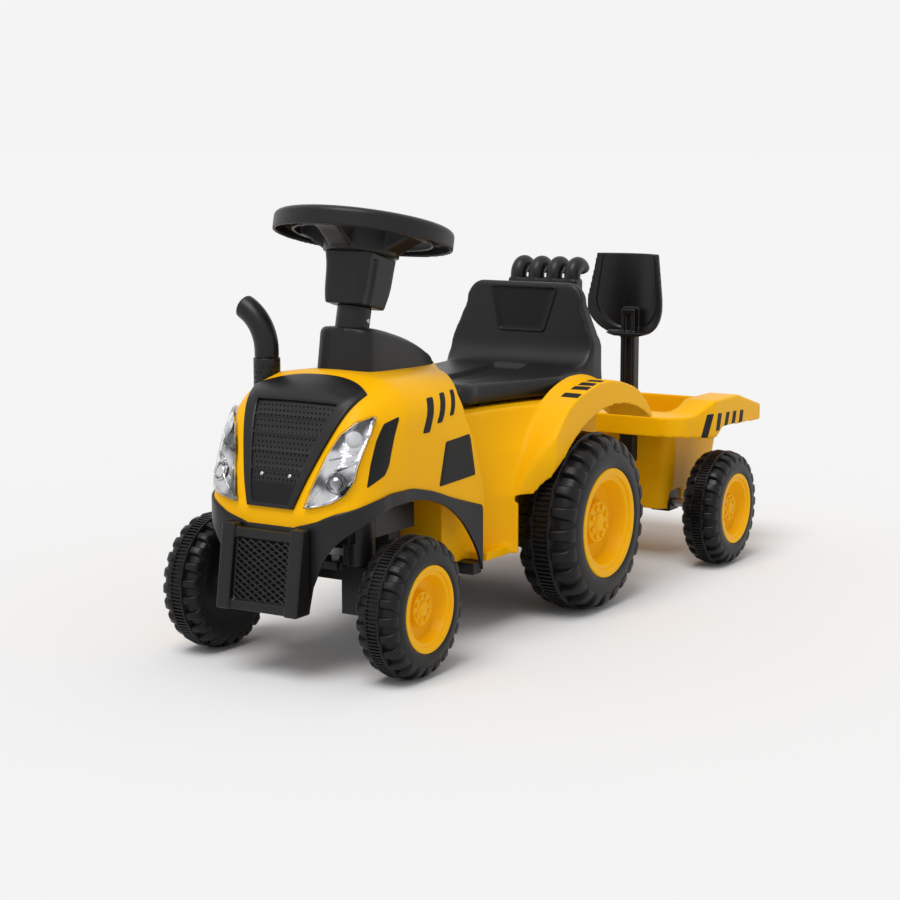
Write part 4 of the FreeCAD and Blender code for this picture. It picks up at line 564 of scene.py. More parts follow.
# Mesh tools
@dataclass
class MeshBuilder:
    """Collects points in millimetres and faces, and turns them into one object."""

    name: str
    points: list[Point] = field(default_factory=list)
    faces: list[tuple[int, ...]] = field(default_factory=list)

    def add(self, points: Sequence[Point]) -> list[int]:
        """Adds points.

        Args:
            points: Places in millimetres.

        Returns:
            The numbers of the new points.
        """
        start = len(self.points)
        self.points.extend((float(x), float(y), float(z)) for x, y, z in points)
        return list(range(start, len(self.points)))

    def grid(self, rows: Rows, wrap_rows: bool = False, wrap_columns: bool = False,
             fill_end: bool = False) -> list[list[int]]:
        """Skins rows of points, each joined to the next.

        Args:
            rows: Rows with the same number of points.
            wrap_rows: Joins the last row to the first.
            wrap_columns: Joins the last point of each row to its first.
            fill_end: Closes the last row with one face.

        Returns:
            The numbers of the points, row by row.
        """
        rings = [self.add(row) for row in rows]
        count = len(rings[0])
        for number in range(len(rings) if wrap_rows else len(rings) - 1):
            here, there = rings[number], rings[(number + 1) % len(rings)]
            for column in range(count if wrap_columns else count - 1):
                after = (column + 1) % count
                self.faces.append((here[column], here[after], there[after], there[column]))
        if fill_end:
            self.faces.append(tuple(rings[-1]))
        return rings

    def tube(self, rows: Rows) -> None:
        """Closed skin round rings of points, with both ends filled."""
        rings = self.grid(rows, wrap_columns=True, fill_end=True)
        self.faces.append(tuple(reversed(rings[0])))

    def build(self) -> Object:
        """Makes the object, with doubled points merged and faces turned outward.

        Returns:
            The new object.
        """
        mesh = bpy.data.meshes.new(self.name)
        mesh.from_pydata([tuple(value * MM for value in point) for point in self.points], [], self.faces)
        work = bmesh.new()
        work.from_mesh(mesh)
        bmesh.ops.remove_doubles(work, verts=work.verts, dist=MERGE_DISTANCE)
        bmesh.ops.recalc_face_normals(work, faces=work.faces)
        work.to_mesh(mesh)
        work.free()
        return placed(self.name, mesh)


def placed(name: str, data: bpy.types.ID) -> Object:
    """New object in the scene.

    Args:
        name: Name of the object.
        data: Its mesh, light or camera.

    Returns:
        The new object.
    """
    made = bpy.data.objects.new(name, data)
    bpy.context.scene.collection.objects.link(made)
    return made


def smooth(made: Object, angle: float = EDGE_ANGLE) -> Object:
    """Smooth shading that keeps sharp edges.

    Args:
        made: Object to shade.
        angle: Angle in degrees from which an edge stays sharp.

    Returns:
        The same object.
    """
    made.data.shade_smooth()
    made.data.set_sharp_from_angle(angle=math.radians(angle))
    return made


def soften(made: Object, width: float, segments: int = 2, angle: float = EDGE_ANGLE) -> Object:
    """Rounds the sharp edges of a piece.

    Args:
        made: Object to round.
        width: Width of the rounding in millimetres.
        segments: Faces across the rounding.
        angle: Angle in degrees from which an edge is rounded.

    Returns:
        The same object.
    """
    made.data.shade_smooth()
    bevel = made.modifiers.new("SoftEdges", "BEVEL")
    bevel.width = width * MM
    bevel.segments = segments
    bevel.limit_method = "ANGLE"
    bevel.angle_limit = math.radians(angle)
    bevel.miter_outer = "MITER_ARC"
    weighted = made.modifiers.new("EvenNormals", "WEIGHTED_NORMAL")
    weighted.keep_sharp = False
    return made


def thicken(made: Object, thickness: float, centre: Point, even: bool = True) -> Object:
    """Gives an open skin its wall.

    Args:
        made: Skin to thicken.
        thickness: Wall in millimetres.
        centre: Point that the wall grows towards.
        even: Whether the wall keeps its thickness round corners.

    Returns:
        The same object.
    """
    middle = Vector(centre) * MM
    outward = sum((face.center - middle).dot(face.normal) * face.area for face in made.data.polygons)
    if outward < 0:
        made.data.flip_normals()
    wall = made.modifiers.new("Wall", "SOLIDIFY")
    wall.thickness = thickness * MM
    wall.offset = -1.0
    wall.use_even_offset = even
    return made


def joined(name: str, parts: Sequence[Object]) -> Object:
    """One object from several, with their modifiers applied.

    Args:
        name: Name of the new object.
        parts: Objects that go into it, which are then removed.

    Returns:
        The new object.
    """
    graph = bpy.context.evaluated_depsgraph_get()
    work = bmesh.new()
    for part in parts:
        bpy.context.view_layer.update()
        graph.update()
        flat = bpy.data.meshes.new_from_object(part.evaluated_get(graph))
        flat.transform(part.matrix_world)
        work.from_mesh(flat)
        bpy.data.meshes.remove(flat)
    mesh = bpy.data.meshes.new(name)
    work.to_mesh(mesh)
    work.free()
    for part in parts:
        bpy.data.objects.remove(part)
    return placed(name, mesh)


def moulded(name: str, source: Object, voxel: float, rounds: int, swell: float = 0.0) -> Object:
    """Copy of a solid with every edge rounded, as it comes from a mould.

    Args:
        name: Name of the new object.
        source: Solid to copy.
        voxel: Size in millimetres of the grid that the copy is made on.
        rounds: Smoothing passes.
        swell: How far the copy is grown, in millimetres.

    Returns:
        The new object.
    """
    copy = placed(f"{name}_copy", source.data.copy())
    grid = copy.modifiers.new("Grid", "REMESH")
    grid.mode = "VOXEL"
    grid.voxel_size = voxel * MM
    relaxed = copy.modifiers.new("Relaxed", "SMOOTH")
    relaxed.iterations = rounds
    grown = copy.modifiers.new("Grown", "DISPLACE")
    grown.mid_level = 0.0
    grown.strength = swell * MM
    made = joined(name, [copy])
    made.data.shade_smooth()
    return made


def blend_value(keys: Sequence[Flat], place: float) -> float:
    """Value on a smooth curve through keys that never swings past them.

    Args:
        keys: Places with their values, in order.
        place: Where the value is wanted; the ends hold beyond the keys.

    Returns:
        The value.
    """
    xs = np.array([key[0] for key in keys], float)
    ys = np.array([key[1] for key in keys], float)
    place = float(np.clip(place, xs[0], xs[-1]))
    number = int(np.clip(np.searchsorted(xs, place) - 1, 0, len(xs) - 2))
    slopes = np.diff(ys) / np.diff(xs)
    bends = np.zeros(len(xs))
    bends[0], bends[-1] = slopes[0], slopes[-1]
    for inner in range(1, len(xs) - 1):
        before, after = slopes[inner - 1], slopes[inner]
        bends[inner] = 0.0 if before * after <= 0 else 2 * before * after / (before + after)
    step = xs[number + 1] - xs[number]
    share = (place - xs[number]) / step
    start = (1 + 2 * share) * (1 - share) ** 2 * ys[number] + share * (1 - share) ** 2 * step * bends[number]
    end = share ** 2 * (3 - 2 * share) * ys[number + 1] + share ** 2 * (share - 1) * step * bends[number + 1]
    return float(start + end)


def ramp(value: float, low: float, high: float) -> float:
    """Soft step from 0 at low to 1 at high."""
    share = min(max((value - low) / (high - low), 0.0), 1.0)
    return share * share * (3 - 2 * share)


def spread(start: float, end: float, count: int) -> list[float]:
    """Even steps from start to end, both included."""
    return [float(value) for value in np.linspace(start, end, count)]


def between(here: Flat, there: Flat, share: float) -> Flat:
    """Point on the way from one flat point to another."""
    return here[0] + (there[0] - here[0]) * share, here[1] + (there[1] - here[1]) * share


def side_points(outline: Sequence[Flat], number: int, pieces: int) -> list[Flat]:
    """Points along one side of a closed outline, without the corner at its end."""
    here, there = outline[number], outline[(number + 1) % len(outline)]
    return [between(here, there, step / pieces) for step in range(pieces)]


def shoulder_turn(flat: float, low: float, radius: float, count: int) -> list[Flat]:
    """Points of a section's round shoulder from its side to its top, without the first."""
    angles = spread(0.0, math.pi / 2, count)[1:]
    return [(flat + radius * math.cos(angle), low + radius * math.sin(angle)) for angle in angles]


def mirrored(left: Sequence[Flat]) -> list[Flat]:
    """Left half of a section, which ends on the middle, with its mirror image."""
    return [*left, *((-y, z) for y, z in reversed(left[:-1]))]


def round_corners(outline: Sequence[Flat], radius: float) -> list[Flat]:
    """Closed outline with each corner replaced by a curve.

    Args:
        outline: Corners in order.
        radius: How far from its corner a curve starts.

    Returns:
        The points of the new outline.
    """
    result = []
    count = len(outline)
    for number, corner in enumerate(outline):
        here = np.array(corner, float)
        sides = [np.array(outline[other % count], float) - here for other in (number - 1, number + 1)]
        lengths = [float(np.linalg.norm(side)) for side in sides]
        reach = min(radius, *(length * LONGEST_CURVE_SHARE for length in lengths))
        first, last = (here + side / length * reach for side, length in zip(sides, lengths))
        for share in spread(0.0, 1.0, CURVE_STEPS + 1):
            curve = (1 - share) ** 2 * first + 2 * share * (1 - share) * here + share ** 2 * last
            result.append((float(curve[0]), float(curve[1])))
    return result


def with_steps(outline: Sequence[Flat], longest: float) -> np.ndarray:
    """Closed outline with points added along its long sides.

    Args:
        outline: Points in order.
        longest: Longest side that is left whole.

    Returns:
        The points, one in each row.
    """
    result = []
    for number, here in enumerate(outline):
        there = outline[(number + 1) % len(outline)]
        pieces = max(1, math.ceil(math.dist(here, there) / longest))
        result += side_points(outline, number, pieces)
    return np.array(result, float)


def inset_loop(loop: np.ndarray, inset: float) -> np.ndarray:
    """Closed outline moved inward.

    Args:
        loop: Points, one in each row.
        inset: Distance in millimetres.

    Returns:
        The moved points.
    """
    along = np.roll(loop, -1, axis=0) - np.roll(loop, 1, axis=0)
    inward = np.stack([-along[:, 1], along[:, 0]], axis=1)
    inward /= np.linalg.norm(inward, axis=1, keepdims=True)
    after = np.roll(loop, -1, axis=0)
    turning = np.sum(loop[:, 0] * after[:, 1] - after[:, 0] * loop[:, 1])
    return loop + inward * inset * (1.0 if turning > 0 else -1.0)


def turned(name: str, profile: Sequence[Flat], segments: int, origin: Point, axis: Point) -> Object:
    """Ring or knob turned about an axis.

    Args:
        name: Name of the object.
        profile: Closed section as radius and distance along the axis.
        segments: Steps round the axis.
        origin: Point on the axis that the distances start from.
        axis: Direction of the axis.

    Returns:
        The new object.
    """
    line = Vector(axis).normalized()
    across = line.orthogonal().normalized()
    square = across.cross(line)
    start = Vector(origin)
    rows = []
    for number in range(segments):
        turn = math.tau * number / segments
        out = across * math.cos(turn) + square * math.sin(turn)
        rows.append([tuple(start + out * radius + line * along) for radius, along in profile])
    builder = MeshBuilder(name)
    builder.grid(rows, wrap_rows=True, wrap_columns=True)
    return builder.build()


def knob(name: str, profile: Sequence[Flat], segments: int, foot: Vector, axis: Vector) -> Object:
    """Small turned head, such as a screw's, with smooth shading."""
    return smooth(turned(name, profile, segments, tuple(foot), tuple(axis)), CRISP_ANGLE)


def pitted(builder: MeshBuilder, place: Callable[[float, float, float], Point], across: Sequence[float],
           along: Sequence[float], depth: float, kept: Callable[[float, float], bool]) -> None:
    """Adds a sheet with staggered rows of small round pits.

    Args:
        builder: Mesh that the sheet goes into.
        place: Point for two flat coordinates and a depth below the sheet.
        across: Flat coordinates of the columns.
        along: Flat coordinates of the rows.
        depth: Depth of the pits.
        kept: Whether a pit fits at a place of the sheet.
    """
    around = ((-1, -1), (-1, 0), (-1, 1), (0, 1), (1, 1), (1, 0), (1, -1), (0, -1))
    half = PIT_STEPS // 2
    numbers = [builder.add([place(u, v, 0.0) for u in across]) for v in along]
    taken = set()
    for line, row in enumerate(range(half, len(along) - half, PIT_STEPS)):
        for column in range(half + half * (line % 2), len(across) - half, PIT_STEPS):
            if not kept(across[column], along[row]):
                continue
            taken.update((row + dv, column + du) for dv in (-1, 0) for du in (-1, 0))
            step_u, step_v = across[column + 1] - across[column], along[row + 1] - along[row]
            circle = [(across[column] + PIT_SHARE * step_u * du / math.hypot(du, dv),
                       along[row] + PIT_SHARE * step_v * dv / math.hypot(du, dv)) for dv, du in around]
            rings = [[numbers[row + dv][column + du] for dv, du in around]]
            rings += [builder.add([place(u, v, low) for u, v in circle]) for low in (0.0, depth)]
            for outer, inner in zip(rings, rings[1:]):
                for number in range(len(around)):
                    after = (number + 1) % len(around)
                    builder.faces.append((outer[number], outer[after], inner[after], inner[number]))
            builder.faces.append(tuple(rings[-1]))
    for row in range(len(along) - 1):
        for column in range(len(across) - 1):
            if (row, column) not in taken:
                builder.faces.append((numbers[row][column], numbers[row][column + 1],
                                      numbers[row + 1][column + 1], numbers[row + 1][column]))


# Pieces laid on a surface
class Aim(Enum):
    """View that a flat outline is laid onto a surface in: line of sight, then the outline's two axes."""

    FRONT = ((-1.0, 0.0, 0.0), (0.0, 1.0, 0.0), (0.0, 0.0, 1.0))
    LEFT = ((0.0, -1.0, 0.0), (1.0, 0.0, 0.0), (0.0, 0.0, 1.0))
    RIGHT = ((0.0, 1.0, 0.0), (1.0, 0.0, 0.0), (0.0, 0.0, 1.0))
    ABOVE = ((0.0, 0.0, -1.0), (1.0, 0.0, 0.0), (0.0, 1.0, 0.0))
    LAMP_LEFT = ((-0.8, -0.6, 0.0), (-0.6, 0.8, 0.0), (0.0, 0.0, 1.0))
    LAMP_RIGHT = ((-0.8, 0.6, 0.0), (-0.6, -0.8, 0.0), (0.0, 0.0, 1.0))

    @property
    def sight(self) -> Vector:
        """Line of sight, towards the surface."""
        return Vector(self.value[0])

    def start(self, flat: Flat) -> Vector:
        """Point well outside the toy in front of a place of the outline."""
        return Vector(self.value[1]) * flat[0] + Vector(self.value[2]) * flat[1] - self.sight * FAR


@dataclass
class Surface:
    """A skin in millimetres that outlines are laid onto."""

    tree: BVHTree

    @classmethod
    def of(cls, made: Object) -> "Surface":
        """Surface of an object as it is modelled, before modifiers."""
        points = [tuple(vertex.co / MM) for vertex in made.data.vertices]
        return cls(BVHTree.FromPolygons(points, [tuple(face.vertices) for face in made.data.polygons]))

    def hit(self, origin: Vector, sight: Vector) -> tuple[Vector, Vector]:
        """First place that a line of sight meets.

        Args:
            origin: Where the line starts.
            sight: Its direction.

        Returns:
            The place, and the surface's direction there, towards the viewer.
        """
        place, normal, _, _ = self.tree.ray_cast(origin, sight)
        if place is None:
            raise ValueError(f"no surface from {tuple(origin)}")
        return place, -normal if normal.dot(sight) > 0 else normal

    def above(self, aim: Aim, flat: Flat, lift: float) -> Point:
        """Point at a height over the surface, at a place of a flat outline."""
        place, normal = self.hit(aim.start(flat), aim.sight)
        return tuple(place + normal * lift)


@dataclass
class LaidPatch:
    """A piece that follows a surface within a flat outline."""

    name: str
    outline: Outline
    aim: Aim
    profile: Outline = ((0.0, -0.8), (0.0, 0.1), (0.3, 0.45), (0.9, 0.6))
    round_radius: float = 2.5
    longest: float = 3.0
    fill_shares: tuple[float, ...] = (0.8, 0.6, 0.4, 0.2)

    def loop(self) -> np.ndarray:
        """Outline with round corners and enough points to follow a curved surface."""
        return with_steps(round_corners(self.outline, self.round_radius), self.longest)

    def build(self, surface: Surface) -> Object:
        """Skins rings from the rim to the middle.

        Args:
            surface: What the patch lies on.

        Returns:
            The new object.
        """
        rim = self.loop()
        loops = [(inset_loop(rim, inset), lift) for inset, lift in self.profile]
        last, height = loops[-1]
        middle = last.mean(axis=0)
        loops += [(middle + (last - middle) * share, height) for share in self.fill_shares]
        builder = MeshBuilder(self.name)
        rows = [[surface.above(self.aim, tuple(point), lift) for point in loop] for loop, lift in loops]
        builder.grid(rows, wrap_columns=True, fill_end=True)
        return smooth(builder.build(), SOFT_ANGLE)


def rod(builder: MeshBuilder, path: Sequence[Point], radius: float, corners: int) -> None:
    """Adds a thin round rod along a path.

    Args:
        builder: Mesh that the rod goes into.
        path: Points along its middle.
        radius: Radius in millimetres.
        corners: Points round the rod.
    """
    rows = []
    for number, point in enumerate(path):
        before, after = path[max(number - 1, 0)], path[min(number + 1, len(path) - 1)]
        along = (Vector(after) - Vector(before)).normalized()
        across = along.cross(Vector((0.0, 0.0, 1.0)))
        across = across.normalized() if across.length > UPRIGHT_LENGTH else Vector((1.0, 0.0, 0.0))
        square = along.cross(across)
        rows.append([tuple(Vector(point) + (across * math.cos(turn) + square * math.sin(turn)) * radius)
                     for turn in spread(0.0, math.tau, corners + 1)[:-1]])
    builder.tube(rows)


@dataclass
class Piece:
    """An object with the finish it gets, the body it moves with and the nodes it stands for."""

    made: Object
    body: str
    finish: Finish
    nodes: tuple[str, ...] = ()

    def fit(self) -> None:
        """Puts the piece on its body in its finish."""
        self.made.data.materials.clear()
        self.made.data.materials.append(self.finish.material())
        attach(self.made, self.body)
        if self.nodes:
            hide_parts(*self.nodes)
        LOG.info("%s rides on %s in %s", self.made.name, self.body, self.finish.name)


class SubAssembly(ABC):
    """Pieces that are built together and then dressed."""

    @abstractmethod
    def build(self) -> list[Piece]:
        """Makes the sub-assembly's pieces."""

    def dress(self) -> int:
        """Builds the pieces and fits each one.

        Returns:
            How many there are.
        """
        pieces = self.build()
        for piece in pieces:
            piece.fit()
        return len(pieces)


# Wheels
@dataclass
class Wheel(SubAssembly):
    """One wheel: lugged tyre, dished hub and hub cap."""

    axle: Axle
    side: Side
    axle_x: float
    face_y: float
    radius: float
    width: float
    lugs: int = 24
    ribs: int = 110
    nuts: int = 8
    tyre_segments: int = 96
    hub_segments: int = 72
    cap_segments: int = 48
    nut_corners: int = 12
    tyre_shares: Outline = (
        (0.617, 0.45), (0.622, 0.485), (0.645, 0.5), (0.70, 0.5), (0.76, 0.493), (0.815, 0.475),
        (0.855, 0.447), (0.885, 0.41), (0.905, 0.36), (0.918, 0.28), (0.922, 0.185), (0.935, 0.172),
        (0.985, 0.165), (1.0, 0.15), (1.0, 0.128), (0.985, 0.115), (0.968, 0.112))
    back_shares: Outline = (
        (0.62, -0.5), (0.38, -0.5), (0.362, -0.49), (0.362, -0.445), (0.617, -0.44))
    lug_shares: tuple[tuple[float, float, float, float], ...] = (
        (0.165, 0.90, 0.985, 0.82), (0.27, 0.895, 0.978, 0.86), (0.37, 0.88, 0.957, 0.92),
        (0.425, 0.85, 0.928, 1.0), (0.462, 0.82, 0.895, 1.06), (0.487, 0.79, 0.842, 0.9))
    lug_fill: float = 0.27
    lug_foot: float = 1.3
    lug_crest: float = 0.82
    lug_edge: float = 0.016
    rib_fill: float = 0.55
    rib_reach: float = 0.118
    rib_shares: Outline = ((0.95, -1.0), (0.994, -0.7), (0.994, 0.7), (0.95, 1.0))
    hub_shares: Outline = (
        (0.615, 0.44), (0.615, 0.485), (0.605, 0.5), (0.548, 0.5), (0.535, 0.49), (0.53, 0.462),
        (0.50, 0.455), (0.478, 0.44), (0.466, 0.40), (0.425, 0.21), (0.405, 0.175), (0.385, 0.165),
        (0.30, 0.158), (0.268, 0.15), (0.255, 0.165), (0.245, 0.23), (0.235, 0.25), (0.14, 0.25))
    barrel_shares: Outline = ((0.575, 0.43), (0.575, -0.42), (0.615, -0.42))
    bore_share: float = 0.14
    bore_lip: float = 0.02
    wall_draw: float = 0.0135
    wall_depth: float = 0.07
    cap_share: float = 0.25
    cap_shares: Outline = ((0.0, 0.0), (0.236, 0.0), (0.236, 0.035), (0.226, 0.05), (0.115, 0.05),
                           (0.105, 0.075), (0.085, 0.09), (0.0, 0.093))
    nut_circle: float = 0.172
    nut_shares: Outline = ((0.034, 0.03), (0.033, 0.083), (0.026, 0.09))

    @property
    def body(self) -> str:
        """Name of the body that the wheel turns with."""
        return f"{self.axle.value}_wheel_{self.side.label}"

    @property
    def middle(self) -> Point:
        """Middle of the wheel."""
        return self.axle_x, self.side.value * (self.face_y - self.width / 2), self.radius

    def label(self, kind: str) -> str:
        """Name for one of this wheel's pieces or nodes."""
        return f"{self.axle.value}_{kind}_{self.side.label}"

    def ring(self, kind: str, shares: Sequence[Flat], segments: int, angle: float) -> Object:
        """Ring turned from a closed section, in shares of the wheel's radius and width."""
        section = [(radius * self.radius, across * self.width * self.side.value) for radius, across in shares]
        return smooth(turned(self.label(kind), section, segments, self.middle, (0.0, 1.0, 0.0)), angle)

    def at(self, turn: float, radius: float, across: float, sideways: float = 0.0) -> Point:
        """Point at a spoke's angle and a radius, moved towards the outer face and square to the spoke."""
        x, y, z = self.middle
        return (x + radius * math.cos(turn) - sideways * math.sin(turn), y + across * self.side.value,
                z + radius * math.sin(turn) + sideways * math.cos(turn))

    def lug(self, turn: float, face: int) -> Rows:
        """Rings of one shoulder lug.

        Args:
            turn: Angle of the lug in radians.
            face: 1 for the outer shoulder, -1 for the inner one.

        Returns:
            Rings from the tread's middle to the side wall.
        """
        thick = math.tau / self.lugs * self.radius * self.lug_fill
        rows = []
        for across, base, top, fat in self.lug_shares:
            corners = ((base, -self.lug_foot), (top, -self.lug_crest), (top, self.lug_crest),
                       (base, self.lug_foot))
            rows.append([self.at(turn, height * self.radius, across * self.width * face, thick * fat * wide)
                         for height, wide in corners])
        return rows

    def rib(self, turn: float) -> Rows:
        """Ring at each end of one of the small ribs between the tread's two raised rings."""
        half = math.pi * self.radius / self.ribs * self.rib_fill
        return [[self.at(turn, height * self.radius, place * self.width, half * wide)
                 for height, wide in self.rib_shares] for place in (-self.rib_reach, self.rib_reach)]

    def tread(self) -> Object:
        """Carcass with its raised rings, ribs between them, shoulder lugs and a closed inner wall.

        Returns:
            The new object.
        """
        inner = [(radius, -across) for radius, across in reversed(self.tyre_shares[2:])]
        section = [*self.tyre_shares, *inner, *self.back_shares]
        carcass = self.ring("carcass", section, self.tyre_segments, SOFT_ANGLE)
        lugs = MeshBuilder("lugs")
        for face, shift in ((1, 0.0), (-1, 0.5)):
            for number in range(self.lugs):
                lugs.tube(self.lug(math.tau * (number + shift) / self.lugs, face))
        ribs = MeshBuilder("ribs")
        for number in range(self.ribs):
            ribs.tube(self.rib(math.tau * number / self.ribs))
        shoulder = soften(lugs.build(), self.lug_edge * self.radius, angle=LUG_ANGLE)
        return joined(self.label("tread"), [carcass, shoulder, ribs.build()])

    def dish(self) -> Object:
        """Dished hub with a stepped lip, an open back and a barrel inside the tyre.

        Returns:
            The new object.
        """
        front = list(self.hub_shares)
        back = [(max(radius - self.wall_draw, self.bore_share), across - self.wall_depth)
                for radius, across in reversed(front[2:-1])]
        tail = [(self.bore_share, 0.0), (self.bore_share + self.bore_lip, 0.0)]
        return self.ring("dish", [*front, *tail, *back, *self.barrel_shares], self.hub_segments, DISH_ANGLE)

    def cover(self) -> Object:
        """Cover of the boss: a disc with a ring of nuts round a dome.

        Returns:
            The new object.
        """
        section = [(radius, self.cap_share + rise) for radius, rise in self.cap_shares]
        disc = self.ring("disc", section, self.cap_segments, CRISP_ANGLE)
        turns = spread(0.0, math.tau, self.nut_corners + 1)[:-1]
        builder = MeshBuilder("nuts")
        for number in range(self.nuts):
            spoke = math.tau * (number + 0.5) / self.nuts
            rows = []
            for size, rise in self.nut_shares:
                place = (self.cap_share + rise) * self.width
                rows.append([self.at(spoke, (self.nut_circle + size * math.cos(turn)) * self.radius, place,
                                     size * math.sin(turn) * self.radius) for turn in turns])
            builder.tube(rows)
        return joined(self.label("cover"), [disc, smooth(builder.build(), CRISP_ANGLE)])

    def build(self) -> list[Piece]:
        """Makes tyre, hub and cap, each in place of its node."""
        return [Piece(self.tread(), self.body, TYRE, (self.label("tyre"),)),
                Piece(self.dish(), self.body, YELLOW, (self.label("hub"),)),
                Piece(self.cover(), self.body, YELLOW, (self.label("hub_cap"),))]


# Hood and what lies on its skin
@dataclass
class HoodForm:
    """Outer form of the hood, shared by the hood and by everything that lies on it."""

    rear_x: float = 160.0
    length: float = 231.0
    half_width: float = 93.0
    top_z: float = 275.0
    shoulder: float = 42.0
    crown: float = 4.0
    flare: float = 5.0
    flare_front_x: float = 287.0
    flare_z: float = 226.0
    flare_drop: float = 16.0
    side_count: int = 10
    turn_count: int = 12
    crown_count: int = 9
    least_side: float = 1.0
    edge_rounds: int = 4
    front_crowding: float = 1.6
    skin_count: int = 44
    form_count: int = 70
    form_low: float = 40.0
    stations: tuple[tuple[float, float, float, float], ...] = (
        (-0.173, 0.985, 0.972, 1.0), (0.3, 1.0, 0.992, 1.0), (0.6, 0.975, 1.0, 0.95),
        (0.76, 0.90, 0.968, 0.8), (0.82, 0.845, 0.942, 0.7), (0.87, 0.785, 0.905, 0.6),
        (0.91, 0.725, 0.85, 0.5), (0.945, 0.655, 0.775, 0.4), (0.975, 0.565, 0.68, 0.3),
        (0.99, 0.485, 0.615, 0.26), (0.997, 0.40, 0.578, 0.22), (1.0, 0.28, 0.56, 0.2))
    edge_keys: Outline = (
        (160.0, 131.0), (226.0, 150.0), (270.0, 164.0), (300.0, 169.0), (320.0, 169.0), (352.0, 165.0),
        (376.0, 159.5), (383.6, 157.0), (387.5, 153.0), (389.6, 148.0), (390.6, 144.5), (391.0, 141.5))
    nose_keys: Outline = (
        (300.0, 0.0), (325.0, 3.0), (345.0, 8.0), (361.0, 12.0), (370.0, 14.0), (378.0, 14.5), (385.0, 13.0),
        (388.7, 9.0), (391.0, 0.0))
    nose_fade: Outline = ((160.0, 1.0), (200.0, 0.55), (240.0, 0.0))
    lean_keys: Outline = (
        (158.0, 0.0), (180.0, 3.0), (205.0, 8.0), (230.0, 12.0), (250.0, 14.0), (275.0, 14.0))
    lean_range: Flat = (265.0, 340.0)
    rear_keys: Outline = (
        (131.0, 170.0), (150.0, 172.0), (187.0, 184.0), (223.0, 199.0), (245.0, 204.0))
    sweep_keys: Outline = ((11.0, 126.0), (48.4, 174.0), (87.0, 204.0))

    @property
    def nose_x(self) -> float:
        """Front end of the form."""
        return self.rear_x + self.length

    def sizes(self, x: float) -> tuple[float, float, float, float]:
        """Size of the form at a place along it.

        Args:
            x: Place along the hood.

        Returns:
            Half width, top height, shoulder radius and crown.
        """
        along = (x - self.rear_x) / self.length
        wide, tall, corner = (blend_value([(row[0], row[column]) for row in self.stations], along)
                              for column in (1, 2, 3))
        return self.half_width * wide, self.top_z * tall, self.shoulder * corner, self.crown * corner

    def swell(self, x: float, z: float) -> float:
        """How far the side stands out, for the flare at the rear and the blunt nose.

        Args:
            x: Place along the hood.
            z: Height.

        Returns:
            The distance in millimetres.
        """
        forward = min(max((self.flare_front_x - x) / (self.flare_front_x - self.rear_x), 0.0), 1.0)
        nose = blend_value(self.nose_keys, x) * blend_value(self.nose_fade, z)
        return nose + self.flare * forward * ramp(z, self.flare_z, self.flare_z - self.flare_drop)

    def lean(self, x: float, z: float) -> float:
        """How far the front leans back at a height."""
        return blend_value(self.lean_keys, z) * ramp(x, *self.lean_range)

    def section(self, x: float, low: float) -> list[Point]:
        """One section of the form.

        Args:
            x: Place along the hood.
            low: Height of the lower edge there.

        Returns:
            Points from the left lower edge over the top to the right lower edge.
        """
        half, top, corner, drop = self.sizes(x)
        shoulder_z = top - drop - corner
        low = min(low, shoulder_z - self.least_side)
        side = [(half + self.swell(x, z), z) for z in spread(low, shoulder_z, self.side_count)]
        flat = half + self.swell(x, shoulder_z) - corner
        crown = [(flat * (1 - share), top - drop * (1 - share) ** 2)
                 for share in spread(0.0, 1.0, self.crown_count)[1:]]
        left = side + shoulder_turn(flat, shoulder_z, corner, self.turn_count) + crown
        return [(x - self.lean(x, z), y, z) for y, z in mirrored(left)]

    def toward_nose(self, start: float, share: float) -> float:
        """Place on the way to the nose, in steps that grow shorter towards it."""
        return start + (self.nose_x - start) * (1 - (1 - share) ** self.front_crowding)

    def trimmed(self, x: float) -> list[Point]:
        """Section down to the hood's own lower edge."""
        return self.section(x, blend_value(self.edge_keys, x))

    def rear_edge(self, column: int) -> float:
        """Place where the hood ends at the rear, slanted at its sides and swept to a tail on top.

        Args:
            column: Number of the point in a section.

        Returns:
            The place along the hood.
        """
        x = self.rear_x
        for _ in range(self.edge_rounds):
            _, y, z = self.trimmed(x)[column]
            slanted = blend_value(self.rear_keys, z)
            x = slanted if z < self.rear_keys[-1][0] else min(slanted, blend_value(self.sweep_keys, abs(y)))
        return x

    def skin_rows(self) -> Rows:
        """Rows of the hood's skin, from its rear edge to its nose.

        Returns:
            Rows with one point for each column of a section.
        """
        columns = len(self.trimmed(self.rear_x))
        starts = [self.rear_edge(column) for column in range(columns)]
        return [[self.trimmed(self.toward_nose(start, share))[column] for column, start in enumerate(starts)]
                for share in spread(0.0, 1.0, self.skin_count)]

    def surface(self) -> Surface:
        """The whole form without its trimmed edges, for finding points on it.

        Returns:
            The surface.
        """
        builder = MeshBuilder("form")
        first = self.rear_x + self.length * self.stations[0][0]
        rows = [self.section(self.toward_nose(first, share), self.form_low)
                for share in spread(0.0, 1.0, self.form_count)]
        builder.grid(rows, fill_end=True)
        return Surface(BVHTree.FromPolygons(builder.points, builder.faces))


